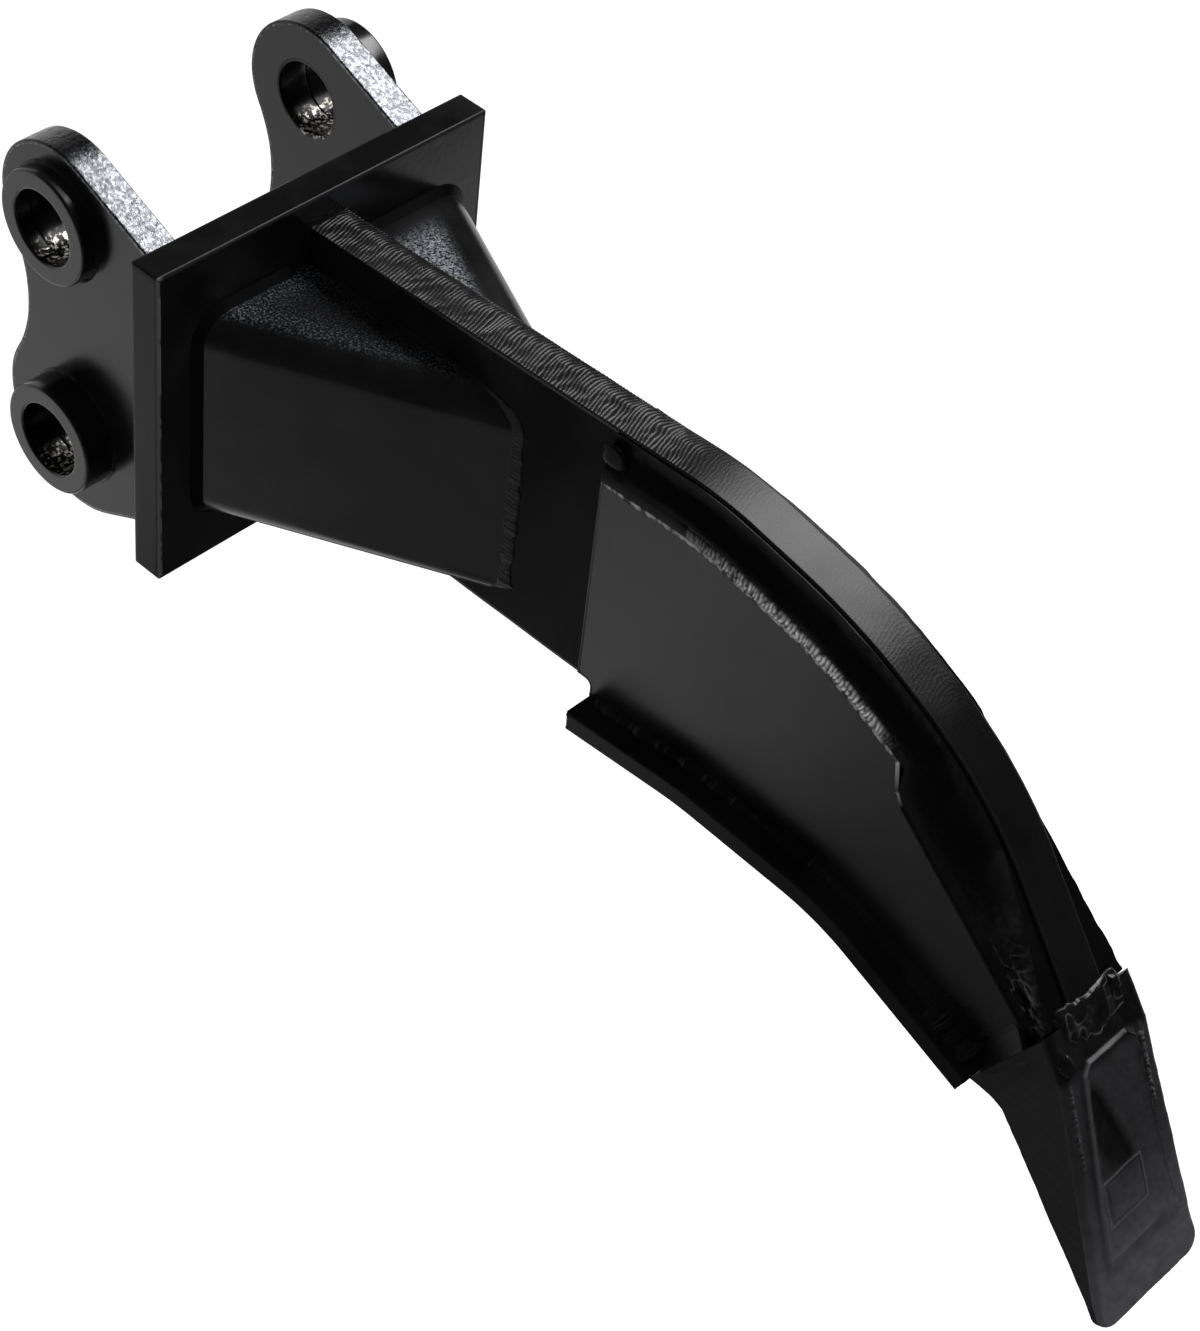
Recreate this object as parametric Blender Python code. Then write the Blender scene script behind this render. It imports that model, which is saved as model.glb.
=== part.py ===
"""Welded ripper for a micro excavator, in metres.

+X runs from the base plate to the tooth, +Y is the pin axis, +Z is up along the base plate.
The origin is on the stick pin's axis, half way between the ears.
"""
import math

import bmesh
import bpy
from mathutils import Vector

# Clearance between pieces that touch
SEAT = 0.0003

# Pins
BORE_DIAMETER = 0.026
LINK_PIN_X = -0.006
LINK_PIN_Z = 0.080
STICK_PIN_X = 0.0
STICK_PIN_Z = 0.0

# Base plate
PLATE_WIDTH = 0.140
PLATE_HEIGHT = 0.1235
PLATE_THICKNESS = 0.012
PLATE_BACK_X = 0.0424
PLATE_TOP_Z = 0.0985
PLATE_EASE = 0.0007

# Ears
EAR_GAP = 0.094
EAR_THICKNESS = 0.012
LINK_LOBE_RADIUS = 0.0273
STICK_LOBE_RADIUS = 0.0330
WAIST_RADIUS = 0.050
EAR_TOP_SLOPE = 22.5
EAR_BOTTOM_SLOPE = 26.7
EAR_EASE = 0.0005

# Collars
COLLAR_DIAMETER = 0.040
THIN_COLLAR_HEIGHT = 0.0062
THICK_COLLAR_HEIGHT = 0.0116
COLLAR_EASE = 0.0006

# Shank
SHANK_THICKNESS = 0.016
SHANK_DROP_AT_PLATE = 0.0099
SHANK_HEIGHT_AT_PLATE = 0.0991
SHANK_EASE = 0.0005
SHANK_TOP_CORNERS = ((0.2283, 0.0938), (0.2813, 0.0830), (0.3342, 0.0570))
SHANK_TOP_RADII = (0.120, 0.170, 0.130)
SHANK_LOW_CORNERS = ((0.190, -0.0108), (0.240, -0.0076), (0.300, -0.0115))
SHANK_LOW_RADII = (0.200, 0.120, 0.090)
TOOTH_JOINT_X = 0.380
TOOTH_JOINT_Z = -0.0025
TOOTH_JOINT_LEAN = 26.9
SHANK_END_HEIGHT = 0.040

# Side boxes, folded from sheet
BOX_SHEET = 0.005
BOX_BEND_RADIUS = 0.010
BOX_TOP_Z = 0.0752
BOX_HEIGHT = 0.0815
BOX_REACH_RIGHT = 0.0548
BOX_REACH_LEFT = 0.0604
BOX_FRONT_X_RIGHT = 0.1480
BOX_FRONT_X_LEFT = 0.1640

# Cheeks
CHEEK_THICKNESS = 0.005
CHEEK_BACK_X = 0.1874
CHEEK_DROP = 0.0173
CHEEK_JOG_X = 0.3103
CHEEK_JOG_DEPTH = 0.0095
CHEEK_JOG_RUN = 0.0030
CHEEK_END_DROP = 0.0164
CHEEK_NOTCH = 0.0060
CHEEK_NOTCH_RADIUS = 0.0024

# Wear strip
STRIP_WIDTH = 0.047
STRIP_THICKNESS = 0.0075
STRIP_BACK_X = 0.1933
STRIP_END_GAP = 0.0009

# Tooth
TOOTH_SHOULDER_RUN = 0.0100
TOOTH_SHOULDER_DROP = 0.0135
TOOTH_RUN = 0.0478
TOOTH_DROP = 0.0930
TOOTH_TIP_THICKNESS = 0.0030
TOOTH_TIP_WIDTH = 0.0500
TOOTH_TIP_CORNER = 0.006
TOOTH_FRONT_WIDTH = 0.0410
TOOTH_NECK_WIDTH = 0.040
TOOTH_BACK_REACH = 0.0540
TOOTH_SCALLOP = 0.0050
TOOTH_SCALLOP_SHARE = 0.15
TOOTH_CHAMFER = 0.0025
PAD_TOP_WIDTH = 0.0225
PAD_LOW_WIDTH = 0.0325
PAD_RELIEF = 0.0012
PAD_LENGTH = 0.072
PAD_CORNER = 0.003

# Weld beads
SMALL_BEAD = 0.0020
ROOT_BEAD = 0.0030
BOX_PLATE_BEAD_OUT = 0.0020
BOX_PLATE_BEAD_ALONG = 0.0040
BOX_SHANK_BEAD_OUT = 0.0045
BOX_SHANK_BEAD_ALONG = 0.0015
BEAD_CLEARANCE = 0.0070
EAR_BEAD = 0.0050
BEAD_CROWN = 0.20
STRIP_BEAD = 0.0028
STRIP_BEAD_END = 0.0075
STRIP_BEAD_SWELL_SHARE = 0.75
BROAD_BEAD_MARGIN = 0.0010
BROAD_BEAD_STEP = 0.0030
BROAD_BEAD_BULGE = 0.0012
BROAD_BEAD_RIM = 0.0006
BUILD_UP = 0.0070
BUILD_UP_LENGTH = 0.041
TOOTH_BEAD = 0.0060
TOOTH_BEAD_RISE = 0.0021

# Fineness of curves
ARC_STEP = 9.0
BORE_SIDES = 40
BOX_WELD_SPACING = 0.003
CHEEK_WELD_SPACING = 0.008
CHEEK_JOG_SPACING = 0.004
STRIP_WELD_SPACING = 0.009

# Reach of the bodies that others are cut with, beyond the part
CUTTER_REACH = 0.20
CUTTER_MARGIN = 0.010

# Worked out from the sizes above
BORE_RADIUS = BORE_DIAMETER / 2
COLLAR_RADIUS = COLLAR_DIAMETER / 2
HALF_SHANK = SHANK_THICKNESS / 2
PLATE_FRONT_X = PLATE_BACK_X + PLATE_THICKNESS
PLATE_LOW_Z = PLATE_TOP_Z - PLATE_HEIGHT
EAR_INNER_Y = EAR_GAP / 2
EAR_OUTER_Y = EAR_INNER_Y + EAR_THICKNESS
CHEEK_INNER_Y = HALF_SHANK + SEAT
CHEEK_OUTER_Y = CHEEK_INNER_Y + CHEEK_THICKNESS
BOX_LOW_Z = BOX_TOP_Z - BOX_HEIGHT
SHANK_TOP_AT_PLATE = PLATE_TOP_Z - SHANK_DROP_AT_PLATE
SHANK_LOW_AT_PLATE = SHANK_TOP_AT_PLATE - SHANK_HEIGHT_AT_PLATE
SHANK_BACK_X = PLATE_FRONT_X + SEAT
TOOTH_FRONT_X = TOOTH_JOINT_X + TOOTH_SHOULDER_RUN
TOOTH_FRONT_Z = TOOTH_JOINT_Z - TOOTH_SHOULDER_DROP
TOOTH_TIP_X = TOOTH_JOINT_X + TOOTH_RUN
TOOTH_TIP_Z = TOOTH_JOINT_Z - TOOTH_DROP
BUILD_UP_START_X = TOOTH_JOINT_X - BUILD_UP_LENGTH
SIDES = (("right", -1.0), ("left", 1.0))
BOXES = (("right", -1.0, BOX_REACH_RIGHT, BOX_FRONT_X_RIGHT), ("left", 1.0, BOX_REACH_LEFT, BOX_FRONT_X_LEFT))


def clear_scene():
    for obj in list(bpy.data.objects):
        bpy.data.objects.remove(obj, do_unlink=True)


def paint(name, color, roughness, metallic=0.0):
    material = bpy.data.materials.new(name)
    material.use_nodes = True
    shader = material.node_tree.nodes["Principled BSDF"]
    shader.inputs["Base Color"].default_value = (*color, 1.0)
    shader.inputs["Roughness"].default_value = roughness
    shader.inputs["Metallic"].default_value = metallic
    return material


def unit(x, z):
    length = math.hypot(x, z)
    return x / length, z / length


def on_circle(center, radius, degrees):
    angle = math.radians(degrees)
    return center[0] + radius * math.cos(angle), center[1] + radius * math.sin(angle)


def arc(center, radius, start, end):
    """Points of an arc in the XZ plane, both ends included, angles in degrees."""
    count = max(2, math.ceil(abs(end - start) / ARC_STEP))
    return [on_circle(center, radius, start + (end - start) * i / count) for i in range(count + 1)]


def rounded(corners, radii):
    """A polyline whose inner corners are replaced by arcs of the given radii."""
    points = [corners[0]]
    for before, corner, after, radius in zip(corners, corners[1:], corners[2:], radii):
        ax, az = unit(before[0] - corner[0], before[1] - corner[1])
        bx, bz = unit(after[0] - corner[0], after[1] - corner[1])
        half = math.acos(max(-1.0, min(1.0, ax * bx + az * bz))) / 2
        if math.pi / 2 - half < 1e-4:
            points.append(corner)
            continue
        mx, mz = unit(ax + bx, az + bz)
        center = (corner[0] + mx * radius / math.sin(half), corner[1] + mz * radius / math.sin(half))
        reach = radius / math.tan(half)
        first = (corner[0] + ax * reach, corner[1] + az * reach)
        last = (corner[0] + bx * reach, corner[1] + bz * reach)
        start = math.degrees(math.atan2(first[1] - center[1], first[0] - center[0]))
        end = math.degrees(math.atan2(last[1] - center[1], last[0] - center[0]))
        turn = (end - start + 180.0) % 360.0 - 180.0
        points.extend(arc(center, radius, start, start + turn))
    points.append(corners[-1])
    return points


def resampled(path, spacing):
    """The same path with points about one spacing apart."""
    lengths = [math.dist(a, b) for a, b in zip(path, path[1:])]
    total = sum(lengths)
    count = max(2, round(total / spacing))
    points = []
    index = 0
    walked = 0.0
    for i in range(count + 1):
        target = total * i / count
        while index < len(lengths) - 1 and walked + lengths[index] < target:
            walked += lengths[index]
            index += 1
        share = (target - walked) / lengths[index]
        a, b = path[index], path[index + 1]
        points.append((a[0] + (b[0] - a[0]) * share, a[1] + (b[1] - a[1]) * share))
    return points


def normals(path):
    """Unit normals to the left of the path's direction, one for each point."""
    result = []
    for i in range(len(path)):
        a = path[max(0, i - 1)]
        b = path[min(len(path) - 1, i + 1)]
        dx, dz = unit(b[0] - a[0], b[1] - a[1])
        result.append((-dz, dx))
    return result


def offset(path, distance):
    """The path moved to its left by the distance."""
    return [(x + nx * distance, z + nz * distance) for (x, z), (nx, nz) in zip(path, normals(path))]


def between_x(path, low, high):
    """The stretch of a path from one X to another, with its ends worked out."""
    def at(x):
        for a, b in zip(path, path[1:]):
            if a[0] <= x <= b[0]:
                return x, a[1] + (b[1] - a[1]) * (x - a[0]) / (b[0] - a[0])
        return path[-1] if x > path[-1][0] else path[0]
    inner = [p for p in path if low + 1e-6 < p[0] < high - 1e-6]
    return [at(low), *inner, at(high)]


def nearest(path, point):
    """The nearest point of a path."""
    best = None
    for a, b in zip(path, path[1:]):
        dx, dz = b[0] - a[0], b[1] - a[1]
        share = ((point[0] - a[0]) * dx + (point[1] - a[1]) * dz) / (dx * dx + dz * dz)
        share = max(0.0, min(1.0, share))
        candidate = (a[0] + dx * share, a[1] + dz * share)
        distance = math.dist(candidate, point)
        if best is None or distance < best[0]:
            best = (distance, candidate)
    return best[1]


def finish(name, bm, material, smooth_angle=None):
    bmesh.ops.remove_doubles(bm, verts=bm.verts, dist=1e-6)
    bmesh.ops.recalc_face_normals(bm, faces=bm.faces)
    mesh = bpy.data.meshes.new(name)
    bm.to_mesh(mesh)
    bm.free()
    mesh.materials.append(material)
    if smooth_angle is not None:
        mesh.shade_smooth()
        mesh.set_sharp_from_angle(angle=math.radians(smooth_angle))
    obj = bpy.data.objects.new(name, mesh)
    bpy.context.scene.collection.objects.link(obj)
    return obj


def plate_solid(name, outline, y_low, y_high, material, smooth_angle=None):
    """A flat outline in the XZ plane, thickened along Y."""
    bm = bmesh.new()
    face = bm.faces.new([bm.verts.new((x, y_low, z)) for x, z in outline])
    extruded = bmesh.ops.extrude_face_region(bm, geom=[face])
    moved = [v for v in extruded["geom"] if isinstance(v, bmesh.types.BMVert)]
    bmesh.ops.translate(bm, verts=moved, vec=(0.0, y_high - y_low, 0.0))
    return finish(name, bm, material, smooth_angle)


def add_rings(bm, rings, closed=False):
    """A skin over equal rings of points, with end caps unless it closes on itself."""
    loops = [[bm.verts.new(p) for p in ring] for ring in rings]
    pairs = list(zip(loops, loops[1:]))
    if closed:
        pairs.append((loops[-1], loops[0]))
    for ring, following in pairs:
        for i in range(len(ring)):
            j = (i + 1) % len(ring)
            bm.faces.new((ring[i], ring[j], following[j], following[i]))
    if not closed:
        bm.faces.new(loops[0])
        bm.faces.new(list(reversed(loops[-1])))


def ease(obj, width):
    modifier = obj.modifiers.new("Eased edges", "BEVEL")
    modifier.width = width
    modifier.segments = 1
    modifier.limit_method = "ANGLE"
    modifier.angle_limit = math.radians(40)
    return modifier


def apply_boolean(obj, cutter, operation):
    cutter.hide_render = True
    cutter.display_type = "WIRE"
    modifier = obj.modifiers.new(cutter.name, "BOOLEAN")
    modifier.operation = operation
    modifier.solver = "EXACT"
    modifier.object = cutter
    return modifier


def bore_cutter(name, pin, y_low, y_high):
    """A plain cylinder along Y that clears a pin bore."""
    bm = bmesh.new()
    rings = []
    for y in (y_low, y_high):
        ring = []
        for i in range(BORE_SIDES):
            x, z = on_circle(pin, BORE_RADIUS, 360.0 * i / BORE_SIDES)
            ring.append((x, y, z))
        rings.append(ring)
    add_rings(bm, rings)
    return finish(name, bm, MATERIALS["bore_steel"])


def box_body(name, low, high, material):
    bm = bmesh.new()
    bmesh.ops.create_cube(bm, size=1.0)
    for vertex in bm.verts:
        for axis in range(3):
            vertex.co[axis] = high[axis] if vertex.co[axis] > 0 else low[axis]
    return finish(name, bm, material)


def bead_section(corner, along_a, along_b, leg_a, leg_b, crown=BEAD_CROWN):
    """Section of a fillet bead in the corner of two faces.

    along_a and along_b are unit vectors that run from the corner along the two faces.
    """
    a = Vector(along_a)
    b = Vector(along_b)
    root = Vector(corner) + (a + b) * SEAT
    toe_a = root + a * leg_a
    toe_b = root + b * leg_b
    chord = toe_b - toe_a
    out = ((a * leg_a + b * leg_b) / 2)
    out -= chord * (out.dot(chord) / chord.length_squared)
    out.normalize()
    rise = out * chord.length * crown
    return [tuple(p) for p in (root, toe_a, toe_a + chord * 0.3 + rise, toe_a + chord * 0.7 + rise, toe_b)]


def add_bead(bm, corners, along_a, along_b, legs, closed=False):
    """A bead along a row of corner points; each argument has one entry for each point."""
    rings = []
    for corner, a, b, (leg_a, leg_b) in zip(corners, along_a, along_b, legs):
        rings.append(bead_section(corner, a, b, leg_a, leg_b))
    add_rings(bm, rings, closed)


def shank_top_path():
    start = (SHANK_BACK_X, SHANK_TOP_AT_PLATE)
    return rounded([start, *SHANK_TOP_CORNERS, (TOOTH_JOINT_X, TOOTH_JOINT_Z)], SHANK_TOP_RADII)


def joint_point(distance):
    """A point down the joint between shank and tooth, measured from its upper end."""
    lean = math.radians(TOOTH_JOINT_LEAN)
    return TOOTH_JOINT_X - distance * math.sin(lean), TOOTH_JOINT_Z - distance * math.cos(lean)


def shank_low_path():
    start = (SHANK_BACK_X, SHANK_LOW_AT_PLATE)
    return rounded([start, *SHANK_LOW_CORNERS, joint_point(SHANK_END_HEIGHT)], SHANK_LOW_RADII)


def cheek_top_path():
    """Upper edge of a cheek: parallel to the shank's, then the jog, then straight to the tooth."""
    follow = offset(resampled(shank_top_path(), 0.006), -CHEEK_DROP)
    follow = between_x(follow, CHEEK_BACK_X, CHEEK_JOG_X)
    jog = (follow[-1][0], follow[-1][1] - CHEEK_JOG_DEPTH)
    turn = (jog[0] + CHEEK_JOG_RUN, jog[1] - CHEEK_JOG_DEPTH / 2)
    end = joint_point(CHEEK_END_DROP)
    return follow, [jog, turn, (end[0] - SEAT, end[1])]


def ear_outline():
    """Two lobes joined by a waist arc, with straight edges tangent to the lobes down to the plate."""
    link = (LINK_PIN_X, LINK_PIN_Z)
    stick = (STICK_PIN_X, STICK_PIN_Z)
    back = PLATE_BACK_X - SEAT
    # centre of the waist arc, outside both lobes
    reach_a = LINK_LOBE_RADIUS + WAIST_RADIUS
    reach_b = STICK_LOBE_RADIUS + WAIST_RADIUS
    span = math.dist(link, stick)
    along = (reach_a ** 2 - reach_b ** 2 + span ** 2) / (2 * span)
    away = math.sqrt(reach_a ** 2 - along ** 2)
    ux, uz = unit(stick[0] - link[0], stick[1] - link[1])
    waist = (link[0] + ux * along + uz * away, link[1] + uz * along - ux * away)
    to_link = math.degrees(math.atan2(waist[1] - link[1], waist[0] - link[0])) % 360.0
    to_stick = math.degrees(math.atan2(waist[1] - stick[1], waist[0] - stick[0])) % 360.0
    top = on_circle(link, LINK_LOBE_RADIUS, 90.0 - EAR_TOP_SLOPE)
    low = on_circle(stick, STICK_LOBE_RADIUS, EAR_BOTTOM_SLOPE - 90.0)
    top_at_plate = (back, top[1] - (back - top[0]) * math.tan(math.radians(EAR_TOP_SLOPE)))
    low_at_plate = (back, low[1] + (back - low[0]) * math.tan(math.radians(EAR_BOTTOM_SLOPE)))
    upper = arc(link, LINK_LOBE_RADIUS, 90.0 - EAR_TOP_SLOPE, to_link)
    middle = arc(waist, WAIST_RADIUS, to_link - 180.0, to_stick - 180.0)
    lower = arc(stick, STICK_LOBE_RADIUS, to_stick, 270.0 + EAR_BOTTOM_SLOPE)
    return [top_at_plate, *upper, *middle[1:-1], *lower, low_at_plate]


def make_base_plate():
    low = (PLATE_BACK_X, -PLATE_WIDTH / 2, PLATE_LOW_Z)
    high = (PLATE_FRONT_X, PLATE_WIDTH / 2, PLATE_TOP_Z)
    ease(box_body("base_plate", low, high, MATERIALS["plate_paint"]), PLATE_EASE)


def make_ears():
    for side, sign in SIDES:
        y_low, y_high = sorted((sign * EAR_INNER_Y, sign * EAR_OUTER_Y))
        ear = plate_solid(f"ear_{side}", ear_outline(), y_low, y_high, MATERIALS["plate_paint"], 30)
        for pin_name, pin in (("link", (LINK_PIN_X, LINK_PIN_Z)), ("stick", (STICK_PIN_X, STICK_PIN_Z))):
            cutter = bore_cutter(f"cut_{pin_name}_{side}", pin, y_low - 0.001, y_high + 0.001)
            apply_boolean(ear, cutter, "DIFFERENCE")
        ease(ear, EAR_EASE)


def collar_body(name, pin, sign, height):
    """A turned ring with its axis along Y, seated on an ear's outer face."""
    near = EAR_OUTER_Y + SEAT
    far = EAR_OUTER_Y + height
    profile = ((BORE_RADIUS, near), (COLLAR_RADIUS, near), (COLLAR_RADIUS, far - COLLAR_EASE),
               (COLLAR_RADIUS - COLLAR_EASE, far), (BORE_RADIUS + COLLAR_EASE, far),
               (BORE_RADIUS, far - COLLAR_EASE))
    bm = bmesh.new()
    rings = []
    for i in range(BORE_SIDES):
        ring = []
        for radius, reach in profile:
            x, z = on_circle(pin, radius, 360.0 * i / BORE_SIDES)
            ring.append((x, sign * reach, z))
        rings.append(ring)
    add_rings(bm, rings, closed=True)
    return finish(name, bm, MATERIALS["collar_paint"], 30)


def collar_weld(name, pin, sign):
    bm = bmesh.new()
    corners, along_a, along_b = [], [], []
    for i in range(BORE_SIDES):
        angle = 360.0 * i / BORE_SIDES
        x, z = on_circle(pin, COLLAR_RADIUS, angle)
        ax, az = on_circle((0.0, 0.0), 1.0, angle)
        corners.append((x, sign * EAR_OUTER_Y, z))
        along_a.append((ax, 0.0, az))
        along_b.append((0.0, sign, 0.0))
    add_bead(bm, corners, along_a, along_b, [(SMALL_BEAD, SMALL_BEAD)] * BORE_SIDES, closed=True)
    return finish(name, bm, MATERIALS["weld_paint"], 40)


def make_collars():
    """Thin link collar and thick stick collar on the right ear, the other way round on the left one."""
    for side, sign in SIDES:
        heights = (THIN_COLLAR_HEIGHT, THICK_COLLAR_HEIGHT)
        link_height, stick_height = heights if sign < 0 else reversed(heights)
        for pin_name, pin, height in (("link", (LINK_PIN_X, LINK_PIN_Z), link_height),
                                      ("stick", (STICK_PIN_X, STICK_PIN_Z), stick_height)):
            collar_body(f"collar_{pin_name}_{side}", pin, sign, height)
            collar_weld(f"weld_collar_{pin_name}_{side}", pin, sign)


def make_ear_welds():
    """Fillets down both faces of each ear, where it stands on the plate's back."""
    outline = ear_outline()
    top = outline[0][1] - EAR_BEAD
    low = outline[-1][1] + EAR_BEAD
    for side, sign in SIDES:
        for place, face, away in (("outer", EAR_OUTER_Y, 1.0), ("inner", EAR_INNER_Y, -1.0)):
            bm = bmesh.new()
            corners = [(PLATE_BACK_X, sign * face, z) for z in (low, top)]
            add_bead(bm, corners, [(0.0, sign * away, 0.0)] * 2, [(-1.0, 0.0, 0.0)] * 2,
                     [(EAR_BEAD, EAR_BEAD)] * 2)
            finish(f"weld_ear_{place}_{side}", bm, MATERIALS["weld_paint"], 40)


def make_shank():
    outline = shank_top_path() + list(reversed(shank_low_path()))
    shank = plate_solid("shank", outline, -HALF_SHANK, HALF_SHANK, MATERIALS["shank_paint"], 20)
    ease(shank, SHANK_EASE)


def box_slope(reach, front_x):
    """Angle of a side box's outer wall to the shank, in radians."""
    return math.atan2(reach - HALF_SHANK, front_x - PLATE_FRONT_X)


def channel_profile():
    """Folded channel section: (inward from the outer wall, Z), outside first and then inside."""
    inner = BOX_BEND_RADIUS - BOX_SHEET
    outside = rounded([(CUTTER_REACH, BOX_LOW_Z), (0.0, BOX_LOW_Z), (0.0, BOX_TOP_Z), (CUTTER_REACH, BOX_TOP_Z)],
                      (BOX_BEND_RADIUS, BOX_BEND_RADIUS))
    wall = BOX_SHEET
    inside = rounded([(CUTTER_REACH, BOX_TOP_Z - wall), (wall, BOX_TOP_Z - wall), (wall, BOX_LOW_Z + wall),
                      (CUTTER_REACH, BOX_LOW_Z + wall)], (inner, inner))
    return outside + inside


def box_point(sign, reach, slope, inward, along, z):
    """A point of a side box from its channel section and the distance along its outer wall."""
    start = Vector((PLATE_FRONT_X, sign * reach, 0.0))
    direction = Vector((math.cos(slope), -sign * math.sin(slope), 0.0))
    normal = Vector((-math.sin(slope), -sign * math.cos(slope), 0.0))
    point = start + direction * along + normal * inward
    return point.x, point.y, z


def make_side_boxes():
    for side, sign, reach, front_x in BOXES:
        slope = box_slope(reach, front_x)
        bm = bmesh.new()
        rings = [[box_point(sign, reach, slope, inward, along, z) for inward, z in channel_profile()]
                 for along in (-CUTTER_REACH, CUTTER_REACH)]
        add_rings(bm, rings)
        channel = finish(f"side_box_{side}", bm, MATERIALS["box_paint"], 30)
        y_low, y_high = sorted((sign * (HALF_SHANK + SEAT), sign * CUTTER_REACH))
        low = (PLATE_FRONT_X + SEAT, y_low, BOX_LOW_Z - CUTTER_MARGIN)
        high = (CUTTER_REACH, y_high, BOX_TOP_Z + CUTTER_MARGIN)
        cutter = box_body(f"cut_box_{side}", low, high, MATERIALS["box_paint"])
        apply_boolean(channel, cutter, "INTERSECT")


def box_outer_profile(reach):
    """Outside of the channel section from its upper inner end round to its lower inner end."""
    return resampled(rounded([(reach, BOX_TOP_Z), (0.0, BOX_TOP_Z), (0.0, BOX_LOW_Z), (reach, BOX_LOW_Z)],
                             (BOX_BEND_RADIUS, BOX_BEND_RADIUS)), BOX_WELD_SPACING)


def make_box_welds():
    clear = BEAD_CLEARANCE
    for side, sign, reach, front_x in BOXES:
        slope = box_slope(reach, front_x)
        profile = box_outer_profile(reach)
        facing = normals(profile)
        fold = Vector((math.cos(slope), -sign * math.sin(slope), 0.0))
        # against the plate: the section carried along the fold to the plate's face
        bm = bmesh.new()
        corners, along_a, along_b = [], [], []
        for (inward, z), (n_in, n_z) in zip(profile, facing):
            y = reach - inward / math.cos(slope)
            if y < HALF_SHANK + clear:
                continue
            up = 1.0 if z > (BOX_TOP_Z + BOX_LOW_Z) / 2 else -1.0
            out = Vector((0.0, sign * abs(n_in), up * abs(n_z)))
            corners.append((PLATE_FRONT_X, sign * y, z))
            along_a.append(tuple(out.normalized()))
            along_b.append(tuple(fold))
        legs = [(BOX_PLATE_BEAD_OUT, BOX_PLATE_BEAD_ALONG)] * len(corners)
        add_bead(bm, corners, along_a, along_b, legs)
        finish(f"weld_box_plate_{side}", bm, MATERIALS["weld_paint"], 40)
        # against the shank: the section carried along the fold to the shank's face
        bm = bmesh.new()
        corners, along_a, along_b = [], [], []
        for (inward, z), (n_in, n_z) in zip(profile, facing):
            x = front_x - inward / math.sin(slope)
            if x < PLATE_FRONT_X + clear or z < BOX_LOW_Z + BOX_BEND_RADIUS:
                continue
            out = Vector((abs(n_in), 0.0, abs(n_z)))
            corners.append((x, sign * HALF_SHANK, z))
            along_a.append(tuple(out.normalized()))
            along_b.append(tuple(-fold))
        legs = [(BOX_SHANK_BEAD_OUT, BOX_SHANK_BEAD_ALONG)] * len(corners)
        add_bead(bm, corners, along_a, along_b, legs)
        finish(f"weld_box_shank_{side}", bm, MATERIALS["weld_paint"], 40)


def make_shank_welds():
    """Beads round the shank's root: over its top and down to the side boxes, and under it."""
    bm = bmesh.new()
    top = SHANK_TOP_AT_PLATE
    stop = BOX_TOP_Z + BEAD_CLEARANCE
    half = HALF_SHANK
    quarter = math.sqrt(0.5)
    points = ((-half, stop, -1.0, 0.0), (-half, top, -quarter, quarter), (half, top, quarter, quarter),
              (half, stop, 1.0, 0.0))
    corners = [(PLATE_FRONT_X, y, z) for y, z, _, _ in points]
    along_a = [(0.0, a, b) for _, _, a, b in points]
    add_bead(bm, corners, along_a, [(1.0, 0.0, 0.0)] * len(points), [(ROOT_BEAD, ROOT_BEAD)] * len(points))
    finish("weld_shank_top", bm, MATERIALS["weld_paint"], 40)
    bm = bmesh.new()
    corners = [(PLATE_FRONT_X, y, SHANK_LOW_AT_PLATE) for y in (-half, half)]
    add_bead(bm, corners, [(0.0, 0.0, -1.0)] * 2, [(1.0, 0.0, 0.0)] * 2, [(ROOT_BEAD, ROOT_BEAD)] * 2)
    finish("weld_shank_under", bm, MATERIALS["weld_paint"], 40)


def cheek_outline():
    follow, run = cheek_top_path()
    strip_top = between_x(shank_low_path(), STRIP_BACK_X, TOOTH_JOINT_X)
    end = (joint_point(SHANK_END_HEIGHT)[0] - SEAT, joint_point(SHANK_END_HEIGHT)[1])
    bottom = [p for p in strip_top if p[0] < end[0] - 0.001]
    notch_top = (CHEEK_BACK_X, bottom[0][1] + CHEEK_NOTCH)
    notch = rounded([notch_top, (STRIP_BACK_X, notch_top[1]), bottom[0]], (CHEEK_NOTCH_RADIUS,))
    return [*follow, *run, end, *reversed(bottom[1:]), *reversed(notch)]


def make_cheeks():
    for side, sign in SIDES:
        y_low, y_high = sorted((sign * CHEEK_INNER_Y, sign * CHEEK_OUTER_Y))
        plate_solid(f"cheek_{side}", cheek_outline(), y_low, y_high, MATERIALS["cheek_paint"], 20)


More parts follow.
